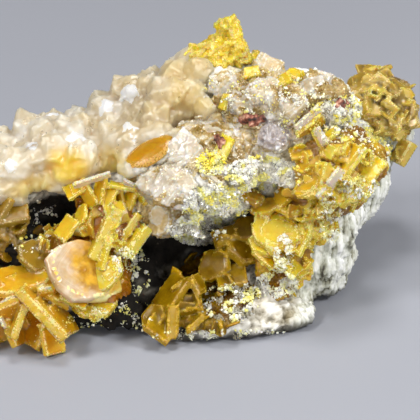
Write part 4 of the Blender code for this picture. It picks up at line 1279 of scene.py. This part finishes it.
# %% Riding and finishes
PIECES = (
    (rock, stone, "matrix", True),
    (left_blades, amber, "left_wulfenite", True),
    (upright_blades, golden, "left_wulfenite", False),
    (shell_blade, shell_pink, "left_wulfenite", False),
    (right_blades, golden, "right_wulfenite", True),
    (hollow_blades, shaded_amber, "hollow_wulfenite", True),
    (summit_blades, lemon, "summit_wulfenite", True),
    (lens_blade, orange, "lens_wulfenite", True),
    (lobe_blades, olive, "lobe_wulfenite", True),
    (slope_crystals, cream, "slope_calcite", True),
    (ledge_crystals, ledge_cream, "ledge_calcite", True),
    (flake_blades, lemon, "summit_wulfenite", False),
    *((piece, sugar, "ledge_calcite", False) for piece in druse_pieces),
    (rust_nodules, iron, "matrix", False),
)
for piece, finish, node, whole in PIECES:
    piece.data.materials.clear()
    piece.data.materials.append(finish)
    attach(piece, "root")
    if whole:
        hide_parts(node)
print(len(PIECES), "pieces in place of", sum(row[3] for row in PIECES), "solids")

# %% [markdown]
# ## Floor, light and camera
# Small pieces are photographed in soft light from above and both sides. Square lights about 0.1 m wide,
# close by, do that here. Their reflections are the white glints on the crystal faces, and three tiny lights
# add sharper ones. The camera stands 0.4 m off with a long lens, and looks straight at the leaning front.

# %% The floor
bm = bmesh.new()
bmesh.ops.create_grid(bm, x_segments=1, y_segments=1, size=3.0)
floor = object_of("floor", bm)
pale = Finish("pale_floor", Roughness=0.6)
pale.set(Base_Color=(0.250, 0.257, 0.286, 1))
floor.data.materials.append(pale.material)
floor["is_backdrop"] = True
print("the floor is", round(floor.dimensions.x, 1), "m wide")

# %% The lights
MIDDLE = Vector((0, 0, 0.012))
# Where each square light stands, its size (both in metres) and its watts.
SOFTBOXES = (
    ((-0.22, -0.16, 0.30), 0.08, 1.1),
    ((0.26, -0.12, 0.26), 0.08, 1.15),
    ((0.0, 0.06, 0.42), 0.12, 1.0),
    ((0.02, -0.40, 0.12), 0.10, 0.5),
    ((-0.30, -0.30, 0.22), 0.015, 0.15),
    ((0.24, -0.34, 0.30), 0.015, 0.15),
    ((0.05, -0.20, 0.45), 0.015, 0.15),
)
for place, size, watts in SOFTBOXES:
    light = bpy.data.lights.new("softbox", 'AREA')
    light.energy = watts
    light.size = size
    lamp = bpy.data.objects.new("softbox", light)
    lamp.location = place
    lamp.rotation_euler = (MIDDLE - Vector(place)).to_track_quat('-Z', 'Y').to_euler()
    scene.collection.objects.link(lamp)
world = bpy.data.worlds.new("studio")
world.use_nodes = True
surround = world.node_tree.nodes["Background"]
surround.inputs["Color"].default_value = (0.90, 0.90, 0.92, 1)
surround.inputs["Strength"].default_value = 0.18
scene.world = world
print(len(SOFTBOXES), "lights of", sum(row[2] for row in SOFTBOXES), "W in all")

# %% The camera
PICTURE_MM = 50.4       # what the picture shows from side to side
DISTANCE = 0.4          # m
camera = bpy.data.cameras.new("camera")
camera.lens = camera.sensor_width * DISTANCE / (PICTURE_MM * MM)
camera.clip_start = 0.01
eye = bpy.data.objects.new("camera", camera)
eye.location = spot(0.8, 11.8, FRONT) + OUT * DISTANCE
eye.rotation_euler = (-OUT).to_track_quat('-Z', 'Y').to_euler()
scene.collection.objects.link(eye)
scene.camera = eye
scene.view_settings.view_transform = 'Standard'
print("a lens of", round(camera.lens), "mm shows", PICTURE_MM, "mm from", DISTANCE, "m away")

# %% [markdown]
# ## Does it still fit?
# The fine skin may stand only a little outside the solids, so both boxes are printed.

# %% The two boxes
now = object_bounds()
sizes = {"cad": [list(cad_box[0]), list(cad_box[1])], "visual": [list(now[0]), list(now[1])]}
print("solids", [[round(c / MM, 1) for c in p] for p in cad_box])
print("visual", [[round(c / MM, 1) for c in p] for p in now])
